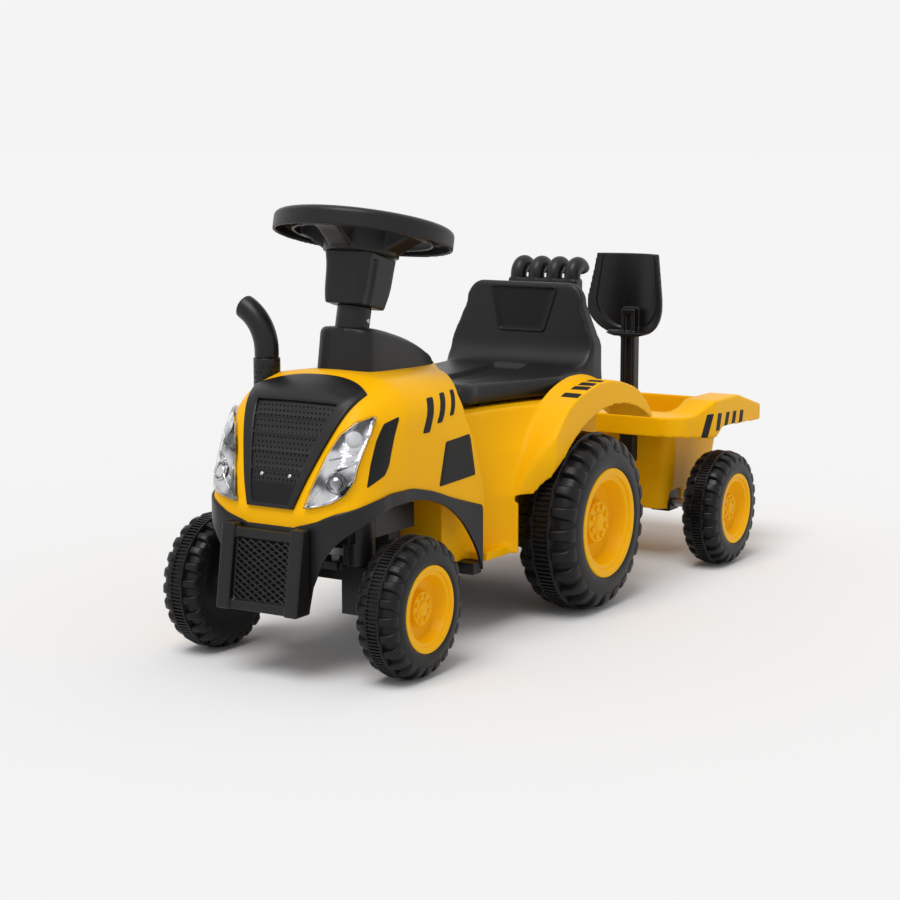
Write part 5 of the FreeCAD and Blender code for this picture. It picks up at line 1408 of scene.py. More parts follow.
@dataclass
class Headlamp(SubAssembly):
    """One headlamp: bright bowl, projector lamp, round lamp, fins between them and a clear cover."""

    form: HoodForm
    side: Side
    outline: Outline = LAMP_OUTLINE
    bowl: Outline = ((1.2, -0.5), (1.2, 3.0), (1.6, 3.0), (2.6, 1.5), (4.2, 0.5))
    cover: Outline = ((0.0, -1.0), (0.0, 3.4), (0.4, 4.3), (1.4, 4.6))
    cover_wall: float = 1.0
    inside_z: float = 150.0
    projector: Flat = (-175.6, 184.8)
    round_lamp: Flat = (-158.3, 222.4)
    lamp_radius: float = 7.6
    lamp_segments: int = 32
    ring: Outline = ((1.06, 0.0), (1.3, 0.0), (1.3, 0.26), (1.22, 0.36), (1.12, 0.36), (1.06, 0.28))
    rim: Outline = ((0.86, 0.0), (1.06, 0.0), (1.06, 0.2), (0.86, 0.12))
    ball: Outline = ((0.0, 0.0), (0.86, 0.0), (0.84, 0.14), (0.7, 0.28), (0.42, 0.38), (0.0, 0.42))
    dome: Outline = ((0.0, 0.0), (1.05, 0.0), (1.0, 0.2), (0.85, 0.36), (0.55, 0.46), (0.0, 0.5))
    fins: tuple[tuple[Flat, Flat], ...] = (
        ((-176.0, 194.0), (-156.0, 202.0)), ((-180.5, 203.0), (-154.5, 210.5)))
    fin_steps: int = 7
    fin_sink: float = 0.5
    fin_lift: float = 2.8
    fin_tilt: float = 1.5
    fin_half: float = 1.4
    fin_crest: float = 0.4
    fin_root: float = 2.0
    fin_edge: float = 0.5

    @property
    def aim(self) -> Aim:
        """View that the lamp's outline is drawn in."""
        return Aim.LAMP_LEFT if self.side is Side.LEFT else Aim.LAMP_RIGHT

    def label(self, kind: str) -> str:
        """Name for one of this lamp's pieces."""
        return f"{kind}_{self.side.label}"

    def patch(self, kind: str, profile: Outline, surface: Surface) -> Object:
        """Piece that fills the lamp's outline."""
        return LaidPatch(self.label(kind), self.outline, self.aim, profile).build(surface)

    def round_part(self, kind: str, flat: Flat, profile: Sequence[Flat], surface: Surface) -> Object:
        """Round lamp part on the bowl's floor.

        Args:
            kind: Name of the part.
            flat: Its place in the lamp's view.
            profile: Shares of the lamp's radius: outward and towards the viewer.
            surface: Form of the hood.

        Returns:
            The new object.
        """
        place, outward = surface.hit(self.aim.start(flat), self.aim.sight)
        section = [(radius * self.lamp_radius, rise * self.lamp_radius) for radius, rise in profile]
        return knob(self.label(kind), section, self.lamp_segments, place, outward)

    def fin_bars(self, surface: Surface) -> Object:
        """Slanted bright bars between the two lamps.

        Args:
            surface: Form of the hood.

        Returns:
            The new object.
        """
        builder = MeshBuilder(self.label("lamp_fins"))
        thick = Vector((0.0, 0.0, self.fin_half))
        for start, end in self.fins:
            rows = []
            for share in spread(0.0, 1.0, self.fin_steps):
                across, up = between(start, end, share)
                low = Vector(surface.above(self.aim, (across, up), -self.fin_sink))
                high = Vector(surface.above(self.aim, (across, up + self.fin_tilt), self.fin_lift))
                rows.append([tuple(low - thick), tuple(high - thick * self.fin_crest),
                             tuple(high + thick * self.fin_crest), tuple(low + thick * self.fin_root)])
            builder.tube(rows)
        return soften(builder.build(), self.fin_edge, angle=FIN_ANGLE)

    def build(self) -> list[Piece]:
        """Makes the cover, and the bowl with what stands in it.

        Returns:
            The pieces, with the cover last.
        """
        surface = self.form.surface()
        inside = (self.form.rear_x, 0.0, self.inside_z)
        shell = thicken(self.patch("lamp_cover", self.cover, surface), self.cover_wall, inside, even=False)
        pieces = [Piece(self.patch("lamp_bowl", self.bowl, surface), "tractor", CHROME,
                        (self.label("headlamp_reflector"),))]
        parts = (("lamp_ring", self.projector, self.ring, CHROME),
                 ("lamp_rim", self.projector, self.rim, DARK_GLASS),
                 ("lamp_ball", self.projector, self.ball, CHROME),
                 ("lamp_round", self.round_lamp, self.dome, FROSTED))
        pieces += [Piece(self.round_part(kind, flat, profile, surface), "tractor", finish)
                   for kind, flat, profile, finish in parts]
        return [*pieces, Piece(self.fin_bars(surface), "tractor", CHROME),
                Piece(shell, "tractor", LENS, (self.label("headlamp_lens"),))]


@dataclass
class Hood(SubAssembly):
    """Yellow hood with its side inserts, slits and bare side plates."""

    form: HoodForm
    wall: float = 3.0
    edge: float = 0.9
    inside: Point = (250.0, 0.0, 150.0)
    vent: Outline = ((308.0, 239.0), (328.0, 234.1), (338.5, 219.2), (348.8, 198.6), (356.8, 178.5),
                     (332.7, 187.7), (326.1, 195.6), (315.1, 223.8))
    slits: tuple[Outline, ...] = (
        ((260.5, 250.6), (249.0, 250.8), (264.4, 219.0), (275.6, 219.0)),
        ((235.0, 252.4), (225.5, 252.6), (242.7, 226.1), (251.9, 225.8)),
        ((214.0, 253.1), (206.5, 253.3), (221.7, 230.6), (229.3, 230.3)))
    plate: Outline = ((239.0, 207.0), (197.0, 210.0), (187.0, 168.0), (250.0, 165.0))

    def shell(self) -> Object:
        """Skin with its wall and rounded edges.

        Returns:
            The new object.
        """
        builder = MeshBuilder("hood_skin")
        builder.grid(self.form.skin_rows(), fill_end=True)
        sheet = thicken(builder.build(), self.wall, self.inside)
        return soften(sheet, self.edge, angle=SOFT_ANGLE)

    def build(self) -> list[Piece]:
        """Makes the shell, then the pieces on both of its sides.

        Returns:
            The pieces.
        """
        pieces = [Piece(self.shell(), "tractor", YELLOW, ("hood_shell",))]
        surface = self.form.surface()
        for side, aim in ((Side.LEFT, Aim.LEFT), (Side.RIGHT, Aim.RIGHT)):
            patches = [(LaidPatch(f"vent_{side.label}", self.vent, aim), INSERT),
                       (LaidPatch(f"plate_{side.label}", self.plate, aim), PLATE)]
            patches += [(LaidPatch(f"slit_{side.label}_{number}", slit, aim), INSERT)
                        for number, slit in enumerate(self.slits)]
            pieces += [Piece(patch.build(surface), "tractor", finish) for patch, finish in patches]
        return pieces


@dataclass
class Bumper(SubAssembly):
    """Black bumper below the hood: arches over the front wheels and an apron in front."""

    form: HoodForm
    rear_x: float = 176.0
    proud: float = 2.2
    wall: float = 3.2
    edge: float = 1.1
    rows: int = 12
    nose_count: int = 8
    side_count: int = 64
    front_crowding: float = 2.2
    overlap: float = 1.0
    inside: Point = (250.0, 0.0, 110.0)
    lip_shares: Outline = ((0.0, -1.6), (0.03, -0.5), (0.08, 0.0))
    face_share: float = 0.16
    side_z: float = 150.0
    low_keys: Outline = (
        (0.0, 65.0), (41.0, 65.0), (45.0, 85.0), (49.0, 95.0), (54.0, 106.0), (59.0, 117.0), (75.0, 135.0),
        (98.0, 147.5), (118.0, 154.0), (139.0, 157.5), (167.0, 158.5), (210.0, 149.0), (241.0, 131.0),
        (262.0, 110.0), (278.0, 87.0), (286.0, 66.0))

    def plan(self) -> list[Flat]:
        """Plan of the hood's side.

        Returns:
            Points from the middle of the nose to the rear end of the left side.
        """
        nose = self.form.nose_x
        front = [(nose, y) for y in spread(0.0, self.form.sizes(nose)[0], self.nose_count)]
        shares = spread(0.0, 1.0, self.side_count)[1:]
        places = [nose - (nose - self.rear_x) * share ** self.front_crowding for share in shares]
        return front + [(x, self.form.sizes(x)[0] + self.form.swell(x, self.side_z)) for x in places]

    def sheet(self) -> Rows:
        """Rows of the bumper's skin from its upper to its lower edge, for the left half.

        Returns:
            One column of points for each place of the plan.
        """
        plan = self.plan()
        steps = [*self.lip_shares, *((share, 0.0) for share in spread(self.face_share, 1.0, self.rows))]
        columns = []
        walked = 0.0
        for number, (x, y) in enumerate(plan):
            before, after = plan[max(number - 1, 0)], plan[min(number + 1, len(plan) - 1)]
            walked += math.dist(plan[number - 1], (x, y)) if number else 0.0
            along = Vector((after[0] - before[0], after[1] - before[1])).normalized()
            outward = Vector((along.y, -along.x)) if number else Vector((1.0, 0.0))
            top = blend_value(self.form.edge_keys, x) + self.overlap
            low = blend_value(self.low_keys, walked)
            columns.append([(x + outward.x * (self.proud + set_in), y + outward.y * (self.proud + set_in),
                             top + (low - top) * share) for share, set_in in steps])
        return columns

    def build(self) -> list[Piece]:
        """Makes the left half and its mirror image, joined at the nose.

        Returns:
            The one piece.
        """
        left = self.sheet()
        right = [[(x, -y, z) for x, y, z in column] for column in reversed(left[1:])]
        builder = MeshBuilder("bumper_skin")
        builder.grid(right + list(left))
        sheet = thicken(builder.build(), self.wall, self.inside)
        skin = soften(sheet, self.edge, angle=SOFT_ANGLE)
        return [Piece(skin, "tractor", BLACK, ("front_bumper",))]


@dataclass
class NoseMap:
    """Finds points over the nose by their distance across and their height at its middle."""

    form: HoodForm
    surface: Surface
    rear_x: float = 300.0
    count: int = 90
    step: float = 1.0
    stand_off: float = 60.0
    heights: list[float] = field(init=False)
    places: list[float] = field(init=False)

    def __post_init__(self) -> None:
        """Follows the middle of the nose upward from its lowest place."""
        along = spread(self.form.nose_x, self.rear_x, self.count)
        self.heights = [self.form.sizes(x)[1] for x in along]
        self.places = [x - self.form.lean(x, top) for x, top in zip(along, self.heights)]

    def x_at(self, z: float) -> float:
        """Place of the nose's middle at a height."""
        return float(np.interp(z, self.heights, self.places))

    def point(self, flat: Flat, lift: float) -> Point:
        """Point over the nose.

        Args:
            flat: Distance across and height at the middle.
            lift: Height over the skin.

        Returns:
            The point in millimetres.
        """
        y, z = flat
        ahead = self.x_at(z + self.step) - self.x_at(z - self.step)
        outward = Vector((2 * self.step, 0.0, -ahead)).normalized()
        place, _ = self.surface.hit(Vector((self.x_at(z), y, z)) + outward * self.stand_off, -outward)
        return tuple(place + outward * lift)


@dataclass
class Grille(SubAssembly):
    """Black grille on the nose: visor and tapered frame, ribbed mesh with two screws, and a plain band."""

    form: HoodForm
    rear_z: float = 270.8
    corner_z: float = 263.5
    bottom_z: float = 158.5
    corner_half: float = 63.5
    bottom_half: float = 25.5
    inner_keys: tuple[Flat, Flat] = ((180.0, 25.4), (252.0, 45.5))
    sill: float = 3.5
    visor_z: float = 250.0
    band_z: float = 181.0
    proud: float = 3.6
    outer_edge: Outline = ((0.0, -4.6), (0.0, -0.9), (0.03, -0.25), (0.08, 0.0))
    inner_edge: Outline = ((0.97, -0.25), (1.0, -0.9), (1.0, -3.8))
    face_range: Flat = (0.15, 0.9)
    face_count: int = 8
    arch_power: int = 3
    visor_rise: float = 1.2
    visor_heights: Flat = (-6.0, 2.0)
    visor_shares: Flat = (0.1, 0.8)
    overlap: float = 0.6
    band_lift: float = 2.4
    band_ledge: Flat = (-0.6, 0.4)
    band_counts: tuple[int, int] = (24, 25)
    mesh_lift: float = 1.5
    rib_rise: float = 1.5
    rib_half: float = 2.6
    rib_crest: float = 0.6
    rib_start: float = 0.7
    rib_spare: float = 0.5
    ribs: int = 4
    pit_pitch: float = 4.5
    pit_depth: float = 1.3
    pit_margin: float = 0.6
    screw_places: Outline = ((-15.8, 187.0), (15.8, 187.0))
    screw_axis: float = 5.0
    screw_segments: int = 20
    screw_head: Outline = (
        (0.0, -1.0), (1.7, -1.0), (1.7, 0.6), (1.2, 0.95), (0.5, 1.05), (0.4, 0.6), (0.0, 0.6))

    def inner_half(self, z: float) -> float:
        """Half width of the opening in the frame at a height."""
        (low, low_half), (high, high_half) = self.inner_keys
        return low_half + (high_half - low_half) * (z - low) / (high - low)

    def reach(self, z: float) -> float:
        """Half width at a height of what lies in the opening and runs under the frame."""
        return self.inner_half(z) + self.overlap

    def frame_loops(self, count: int = 24) -> tuple[list[Flat], list[Flat]]:
        """Outer and inner outline of the frame, point by point.

        Args:
            count: Points on each side.

        Returns:
            The two outlines.
        """
        low = self.bottom_z + self.sill
        top, foot = self.inner_half(self.visor_z), self.inner_half(low)
        corners = ((self.corner_half, self.corner_z, self.bottom_half, self.bottom_z),
                   (top, self.visor_z, foot, low))
        loops = []
        for high_half, high_z, low_half, low_z in corners:
            outline = [(-high_half, high_z), (high_half, high_z), (low_half, low_z), (-low_half, low_z)]
            sides = [side_points(outline, number, count) for number in range(len(outline))]
            loops.append([flat for side in sides for flat in side])
        outer, inner = loops
        arch = self.rear_z - self.corner_z
        rear = [(y, self.corner_z + arch * (1 - abs(y / self.corner_half) ** self.arch_power))
                for y, _ in outer[:count]]
        return rear + outer[count:], inner

    def frame(self, nose: NoseMap) -> Object:
        """Visor, side bars and sill in one ring.

        Args:
            nose: Finds points over the nose.

        Returns:
            The new object.
        """
        outer, inner = self.frame_loops()
        low, high = (self.visor_z + change for change in self.visor_heights)
        face = [(share, 0.0) for share in spread(*self.face_range, self.face_count)]
        rows = []
        for share, drop in (*self.outer_edge, *face, *self.inner_edge):
            row = []
            for outer_flat, inner_flat in zip(outer, inner):
                flat = between(outer_flat, inner_flat, share)
                rise = self.visor_rise * ramp(flat[1], low, high) * ramp(share, *self.visor_shares)
                row.append(nose.point(flat, self.proud + rise + drop))
            rows.append(row)
        builder = MeshBuilder("grille_frame")
        builder.grid(rows, wrap_columns=True)
        return smooth(builder.build(), FRAME_ANGLE)

    def band(self, nose: NoseMap) -> Object:
        """Plain panel below the mesh, with a small ledge along its top.

        Args:
            nose: Finds points over the nose.

        Returns:
            The new object.
        """
        ledge_low, ledge_high = (self.band_z + change for change in self.band_ledge)
        row_count, column_count = self.band_counts
        rows = []
        for z in spread(self.bottom_z + self.sill - self.overlap, ledge_high, row_count):
            lift = self.band_lift - ramp(z, ledge_low, ledge_high)
            across = spread(-self.reach(z), self.reach(z), column_count)
            rows.append([nose.point((y, z), lift) for y in across])
        builder = MeshBuilder("grille_band")
        builder.grid(rows)
        return smooth(builder.build(), SOFT_ANGLE)

    def mesh_height(self, z: float) -> float:
        """Height of the ribbed mesh over the skin.

        Args:
            z: Height on the nose.

        Returns:
            The height over the skin in millimetres.
        """
        pitch = (self.visor_z - self.band_z) / (self.ribs + self.rib_spare)
        nearest = min(abs(z - self.band_z - pitch * (number + self.rib_start)) for number in range(self.ribs))
        return self.mesh_lift + self.rib_rise * ramp(nearest, self.rib_half, self.rib_crest)

    def mesh(self, nose: NoseMap) -> Object:
        """Ribbed panel with staggered rows of small pits.

        Args:
            nose: Finds points over the nose.

        Returns:
            The new object.
        """
        def place(y: float, z: float, depth: float) -> Point:
            """Point of the mesh, held within its reach."""
            across = min(max(y, -self.reach(z)), self.reach(z))
            return nose.point((across, z), self.mesh_height(z) - depth)

        def kept(y: float, z: float) -> bool:
            """Whether a pit lies clear of the frame."""
            return abs(y) + self.pit_pitch * self.pit_margin < self.reach(z)

        step = self.pit_pitch / PIT_STEPS
        wide = self.reach(self.visor_z) + step
        builder = MeshBuilder("grille_mesh")
        pitted(builder, place, np.arange(-wide, wide + step, step),
               np.arange(self.band_z, self.visor_z + step, step), self.pit_depth, kept)
        return smooth(builder.build(), SOFT_ANGLE)

    def build(self) -> list[Piece]:
        """Makes the frame, the mesh, the band and the two screws.

        Returns:
            The pieces.
        """
        nose = NoseMap(self.form, self.form.surface())
        pieces = [Piece(self.frame(nose), "tractor", BLACK, ("grille_panel",)),
                  Piece(self.mesh(nose), "tractor", BLACK), Piece(self.band(nose), "tractor", PLATE)]
        for number, flat in enumerate(self.screw_places):
            foot = Vector(nose.point(flat, self.mesh_lift))
            axis = Vector(nose.point(flat, self.mesh_lift + self.screw_axis)) - foot
            screw = knob(f"grille_screw_{number}", self.screw_head, self.screw_segments, foot, axis)
            pieces.append(Piece(screw, "tractor", STEEL))
        return pieces


@dataclass
class ExhaustCan(SubAssembly):
    """Perforated can at the foot of the exhaust."""

    middle: Flat = (300.0, -70.0)
    radius: float = 13.0
    base_z: float = 236.0
    top_z: float = 284.0
    bore: float = 10.6
    pit_pitch: float = 5.2
    pit_depth: float = 1.4
    bare_top: float = 7.0
    wall_foot: float = 1.0
    wall_top: float = 3.0
    row_slack: float = 0.1
    chamfer: float = 0.4
    lip: Outline = ((0.0, 0.8), (0.3, 0.2), (1.0, 0.0))

    def at(self, turn: float, z: float, depth: float) -> Point:
        """Point of the can at an angle and a height, below its skin."""
        radius = self.radius - depth
        return self.middle[0] + radius * math.cos(turn), self.middle[1] + radius * math.sin(turn), z

    def build(self) -> list[Piece]:
        """Makes the perforated wall with a rolled rim.

        Returns:
            The one piece.
        """
        turns = spread(0.0, math.tau, PIT_STEPS * round(math.tau * self.radius / self.pit_pitch) + 1)
        low, high = self.base_z + self.wall_foot, self.top_z - self.wall_top
        heights = np.arange(low, high + self.row_slack, self.pit_pitch / PIT_STEPS)
        builder = MeshBuilder("exhaust_wall")
        pitted(builder, self.at, turns, heights, self.pit_depth, lambda _, z: z < self.top_z - self.bare_top)
        foot = [(self.bore, self.base_z), (self.radius - self.chamfer, self.base_z),
                (self.radius, self.base_z + self.chamfer), (self.radius, low)]
        lip = [(self.radius - inset, self.top_z - drop) for inset, drop in self.lip]
        rim = [(self.radius, float(heights[-1])), *lip, (self.bore, self.top_z), (self.bore, self.base_z)]
        for section in (foot, rim):
            builder.grid([[self.at(turn, z, self.radius - radius) for radius, z in section]
                          for turn in turns])
        return [Piece(smooth(builder.build(), SOFT_ANGLE), "tractor", BLACK, ("exhaust_can",))]


@dataclass
class GuardMesh(SubAssembly):
    """Diamond mesh of raised wires on the panel of the bumper's guard."""

    guard: Object
    half_width: float = 30.0
    low_z: float = 73.6
    high_z: float = 129.4
    pitch: Flat = (9.6, 5.8)
    wire_radius: float = 0.7
    wire_lift: float = 0.8
    wire_corners: int = 5
    wire_steps: int = 41
    least_points: int = 3
    rim: float = 0.4
    rim_sink: float = 0.2

    def wires(self) -> list[list[Flat]]:
        """Flat paths of the wires, both ways across the panel.

        Returns:
            Points across and up for each wire.
        """
        slope = self.pitch[1] / self.pitch[0]
        reach = self.half_width * slope
        starts = np.arange(self.low_z - reach, self.high_z + reach, self.pitch[1])
        across = spread(-self.half_width, self.half_width, self.wire_steps)
        paths = []
        for sign in (1.0, -1.0):
            for start in starts:
                path = [(y, float(start) + sign * slope * y) for y in across]
                kept = [flat for flat in path if self.low_z <= flat[1] <= self.high_z]
                if len(kept) >= self.least_points:
                    paths.append(kept)
        return paths

    def build(self) -> list[Piece]:
        """Makes all wires as one piece, in front of a dark panel that is the guard's black face made darker
        as painted shade of its recess.

        Returns:
            The wires and the panel.
        """
        surface = Surface.of(self.guard)
        builder = MeshBuilder("guard_wires")
        for path in self.wires():
            points = [surface.above(Aim.FRONT, flat, self.wire_lift) for flat in path]
            rod(builder, points, self.wire_radius, self.wire_corners)
        corners = ((-self.half_width, self.low_z), (self.half_width, self.low_z),
                   (self.half_width, self.high_z), (-self.half_width, self.high_z))
        profile = ((0.0, -self.rim_sink), (0.0, self.rim))
        # Sheet under the wires: the guard's black face, darkened as painted shade of the recess
        panel = LaidPatch("guard_shade_panel", corners, Aim.FRONT, profile, self.rim)
        return [Piece(smooth(builder.build(), WIRE_ANGLE), "tractor", BLACK),
                Piece(panel.build(surface), "tractor", SHADE)]


@dataclass
class Moulding(SubAssembly):
    """A moulded piece with soft edges, made from its node."""

    name: str
    node: str
    body: str
    finish: Finish
    source: Object
    voxel: float
    rounds: int
    swell: float = 0.0
    bend: Callable[[Vector], Vector] | None = None
    made: Object | None = field(default=None, init=False)

    def shape(self) -> Object:
        """Smoothed copy of the node, made once.

        Returns:
            The new object.
        """
        if self.made is None:
            self.made = moulded(self.name, self.source, self.voxel, self.rounds, self.swell)
            if self.bend is not None:
                for vertex in self.made.data.vertices:
                    vertex.co = self.bend(vertex.co / MM) * MM
        return self.made

    def build(self) -> list[Piece]:
        """Smoothed copy in place of the node."""
        return [Piece(self.shape(), self.body, self.finish, (self.node,))]


def round_fender(point: Vector) -> Vector:
    """Rounds the fenders out over the tyres.

    Args:
        point: Point of the rear body in millimetres.

    Returns:
        The moved point.
    """
    reach = abs(point.y)
    out = FENDER_REACH * ramp(reach, *FENDER_REACH_Y) * ramp(point.z, *FENDER_REACH_Z)
    sink = FENDER_SINK * ramp(reach, *FENDER_SINK_Y) * ramp(point.z, *FENDER_SINK_Z)
    return Vector((point.x, point.y + math.copysign(out, point.y), point.z - sink))


def flatten_rim(point: Vector) -> Vector:
    """Makes the steering wheel's rim less tall, from its lower edge.

    Args:
        point: Point of the wheel in millimetres.

    Returns:
        The moved point.
    """
    axis = Vector((-math.sin(COLUMN_LEAN), 0.0, math.cos(COLUMN_LEAN)))
    height = point.dot(axis)
    from_middle = point - WHEEL_MIDDLE
    reach = (from_middle - axis * from_middle.dot(axis)).length
    sink = (height - RIM_FOOT) * RIM_SINK_SHARE * ramp(reach, *RIM_REACH)
    return point - axis * max(sink, 0.0)


def taper_hub(point: Vector) -> Vector:
    """Draws in the upper part of the steering hub.

    Args:
        point: Point of the hub in millimetres.

    Returns:
        The moved point.
    """
    middle_x = WHEEL_MIDDLE.x + (WHEEL_MIDDLE.z - point.z) * math.tan(COLUMN_LEAN)
    kept = 1.0 - HUB_TAPER_SHARE * ramp(point.z, *HUB_TAPER_Z)
    return Vector((middle_x + (point.x - middle_x) * kept, point.y * kept, point.z))


def groove_seat(point: Vector) -> Vector:
    """Sinks the middle of the cushion between the legs."""
    sink = SEAT_GROOVE * ramp(abs(point.y), *GROOVE_Y) * ramp(point.x, *GROOVE_X) * ramp(point.z, *GROOVE_Z)
    return Vector((point.x, point.y, point.z - sink))


@dataclass
class Stripes(SubAssembly):
    """Black printed stripes on a yellow piece, the same on both sides."""

    name: str
    body: str
    carrier: Moulding
    outlines: tuple[Outline, ...]
    above: bool = False
    profile: Outline = ((0.0, -0.2), (0.0, 0.12), (0.3, 0.25))
    round_radius: float = 0.8
    longest: float = 2.5

    def build(self) -> list[Piece]:
        """Makes one patch for each stripe and side.

        Returns:
            The pieces.
        """
        surface = Surface.of(self.carrier.shape())
        pieces = []
        for side in Side:
            for number, outline in enumerate(self.outlines):
                aim = Aim.LEFT if side is Side.LEFT else Aim.RIGHT
                if self.above:
                    aim = Aim.ABOVE
                    outline = tuple((x, side.value * y) for x, y in outline)
                name = f"{self.name}_{side.label}_{number}"
                patch = LaidPatch(name, outline, aim, self.profile, self.round_radius, self.longest)
                pieces.append(Piece(patch.build(surface), self.body, INSERT))
        return pieces


@dataclass
class Cowl(SubAssembly):
    """Wedge-shaped cowl round the foot of the steering column."""

    half_keys: Outline = (
        (122.0, 5.0), (132.0, 12.0), (150.0, 20.0), (182.0, 26.0), (228.0, 29.5), (255.0, 30.5),
        (268.0, 30.0), (276.0, 26.5), (281.0, 19.5), (284.0, 8.0))
    top_keys: Outline = (
        (122.0, 268.5), (135.0, 274.5), (162.0, 285.5), (197.0, 298.0), (228.0, 306.5), (247.0, 311.0),
        (262.0, 313.5), (284.0, 314.0))
    base_z: float = 268.0
    draft: float = 2.0
    lean: float = 5.5
    lean_range: Flat = (255.0, 283.0)
    corner: float = 7.0
    corner_width_share: float = 0.7
    corner_height_share: float = 0.5
    crown: float = 0.8
    side_count: int = 8
    turn_count: int = 7
    crown_count: int = 5
    rows: int = 60
    front_crowding: int = 2
    wall: float = 2.5
    edge: float = 1.2
    edge_segments: int = 3
    inside: Point = (220.0, 0.0, 270.0)

    def section(self, x: float) -> list[Point]:
        """One section from the left foot over the top to the right foot.

        Args:
            x: Place along the cowl.

        Returns:
            The section's points.
        """
        half, top = blend_value(self.half_keys, x), blend_value(self.top_keys, x)
        rise = top - self.base_z
        corner = min(self.corner, half * self.corner_width_share, rise * self.corner_height_share)
        flat, shoulder_z = half - corner, top - corner
        side = [(half + self.draft * (1 - share), self.base_z + (shoulder_z - self.base_z) * share)
                for share in spread(0.0, 1.0, self.side_count)]
        crown = [(flat * (1 - share), top + share * (2 - share) * self.crown)
                 for share in spread(0.0, 1.0, self.crown_count)[1:]]
        left = side + shoulder_turn(flat, shoulder_z, corner, self.turn_count) + crown
        slope = self.lean * ramp(x, *self.lean_range) / (self.top_keys[-1][1] - self.base_z)
        return [(x - slope * (z - self.base_z), y, z) for y, z in mirrored(left)]

    def build(self) -> list[Piece]:
        """Makes the skin with its wall.

        Returns:
            The one piece.
        """
        first, last = self.half_keys[0][0], self.half_keys[-1][0]
        rows = [self.section(first + (last - first) * (1 - (1 - share) ** self.front_crowding))
                for share in spread(0.0, 1.0, self.rows)]
        builder = MeshBuilder("cowl_cover")
        builder.grid(rows, fill_end=True)
        sheet = thicken(builder.build(), self.wall, self.inside, even=False)
        cover = soften(sheet, self.edge, self.edge_segments, CRISP_ANGLE)
        return [Piece(cover, "tractor", BLACK, ("dash_cowl",))]


@dataclass
class SeatPlate(SubAssembly):
    """Bare sunk plate with a soft rim on the front of the backrest."""

    seat: Object
    outline: Outline = ((-43.0, 332.5), (43.0, 332.5), (28.9, 282.0), (-28.9, 282.0))
    profile: Outline = ((0.0, -1.0), (0.0, 0.8), (0.6, 1.4), (1.6, 1.5), (2.4, 1.1), (3.0, 0.5))
    round_radius: float = 5.0

    def build(self) -> list[Piece]:
        """One patch on the backrest."""
        patch = LaidPatch("seat_plate", self.outline, Aim.FRONT, self.profile, self.round_radius)
        return [Piece(patch.build(Surface.of(self.seat)), "seat", PLATE)]


@dataclass
class ColumnScrew(SubAssembly):
    """Small bright screw in the front of the steering column."""

    column: Object
    aim: Aim = Aim.LAMP_LEFT
    place: Flat = (-139.2, 319.5)
    profile: Outline = (
        (0.0, -0.6), (2.4, -0.6), (2.4, 0.5), (2.0, 0.9), (0.9, 1.0), (0.7, 0.4), (0.0, 0.4))
    segments: int = 24

    def build(self) -> list[Piece]:
        """Turned head with a small recess."""
        place, outward = Surface.of(self.column).hit(self.aim.start(self.place), self.aim.sight)
        return [Piece(knob("column_screw", self.profile, self.segments, place, outward), "steering", STEEL)]


@dataclass
class CadFinish:
    """Finish and soft edges for nodes that are shown as they are."""

    finishes: dict[str, Finish]
    edge: float = 1.2

    def dress(self, nodes: dict[str, Object]) -> None:
        """Gives each node its finish, with its sharp edges rounded.

        Args:
            nodes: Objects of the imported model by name.
        """
        for name, finish in self.finishes.items():
            node = nodes[name]
            node.data.materials.clear()
            node.data.materials.append(finish.material())
            weld = node.modifiers.new("Weld", "WELD")
            weld.merge_threshold = MERGE_DISTANCE
            soften(node, self.edge)


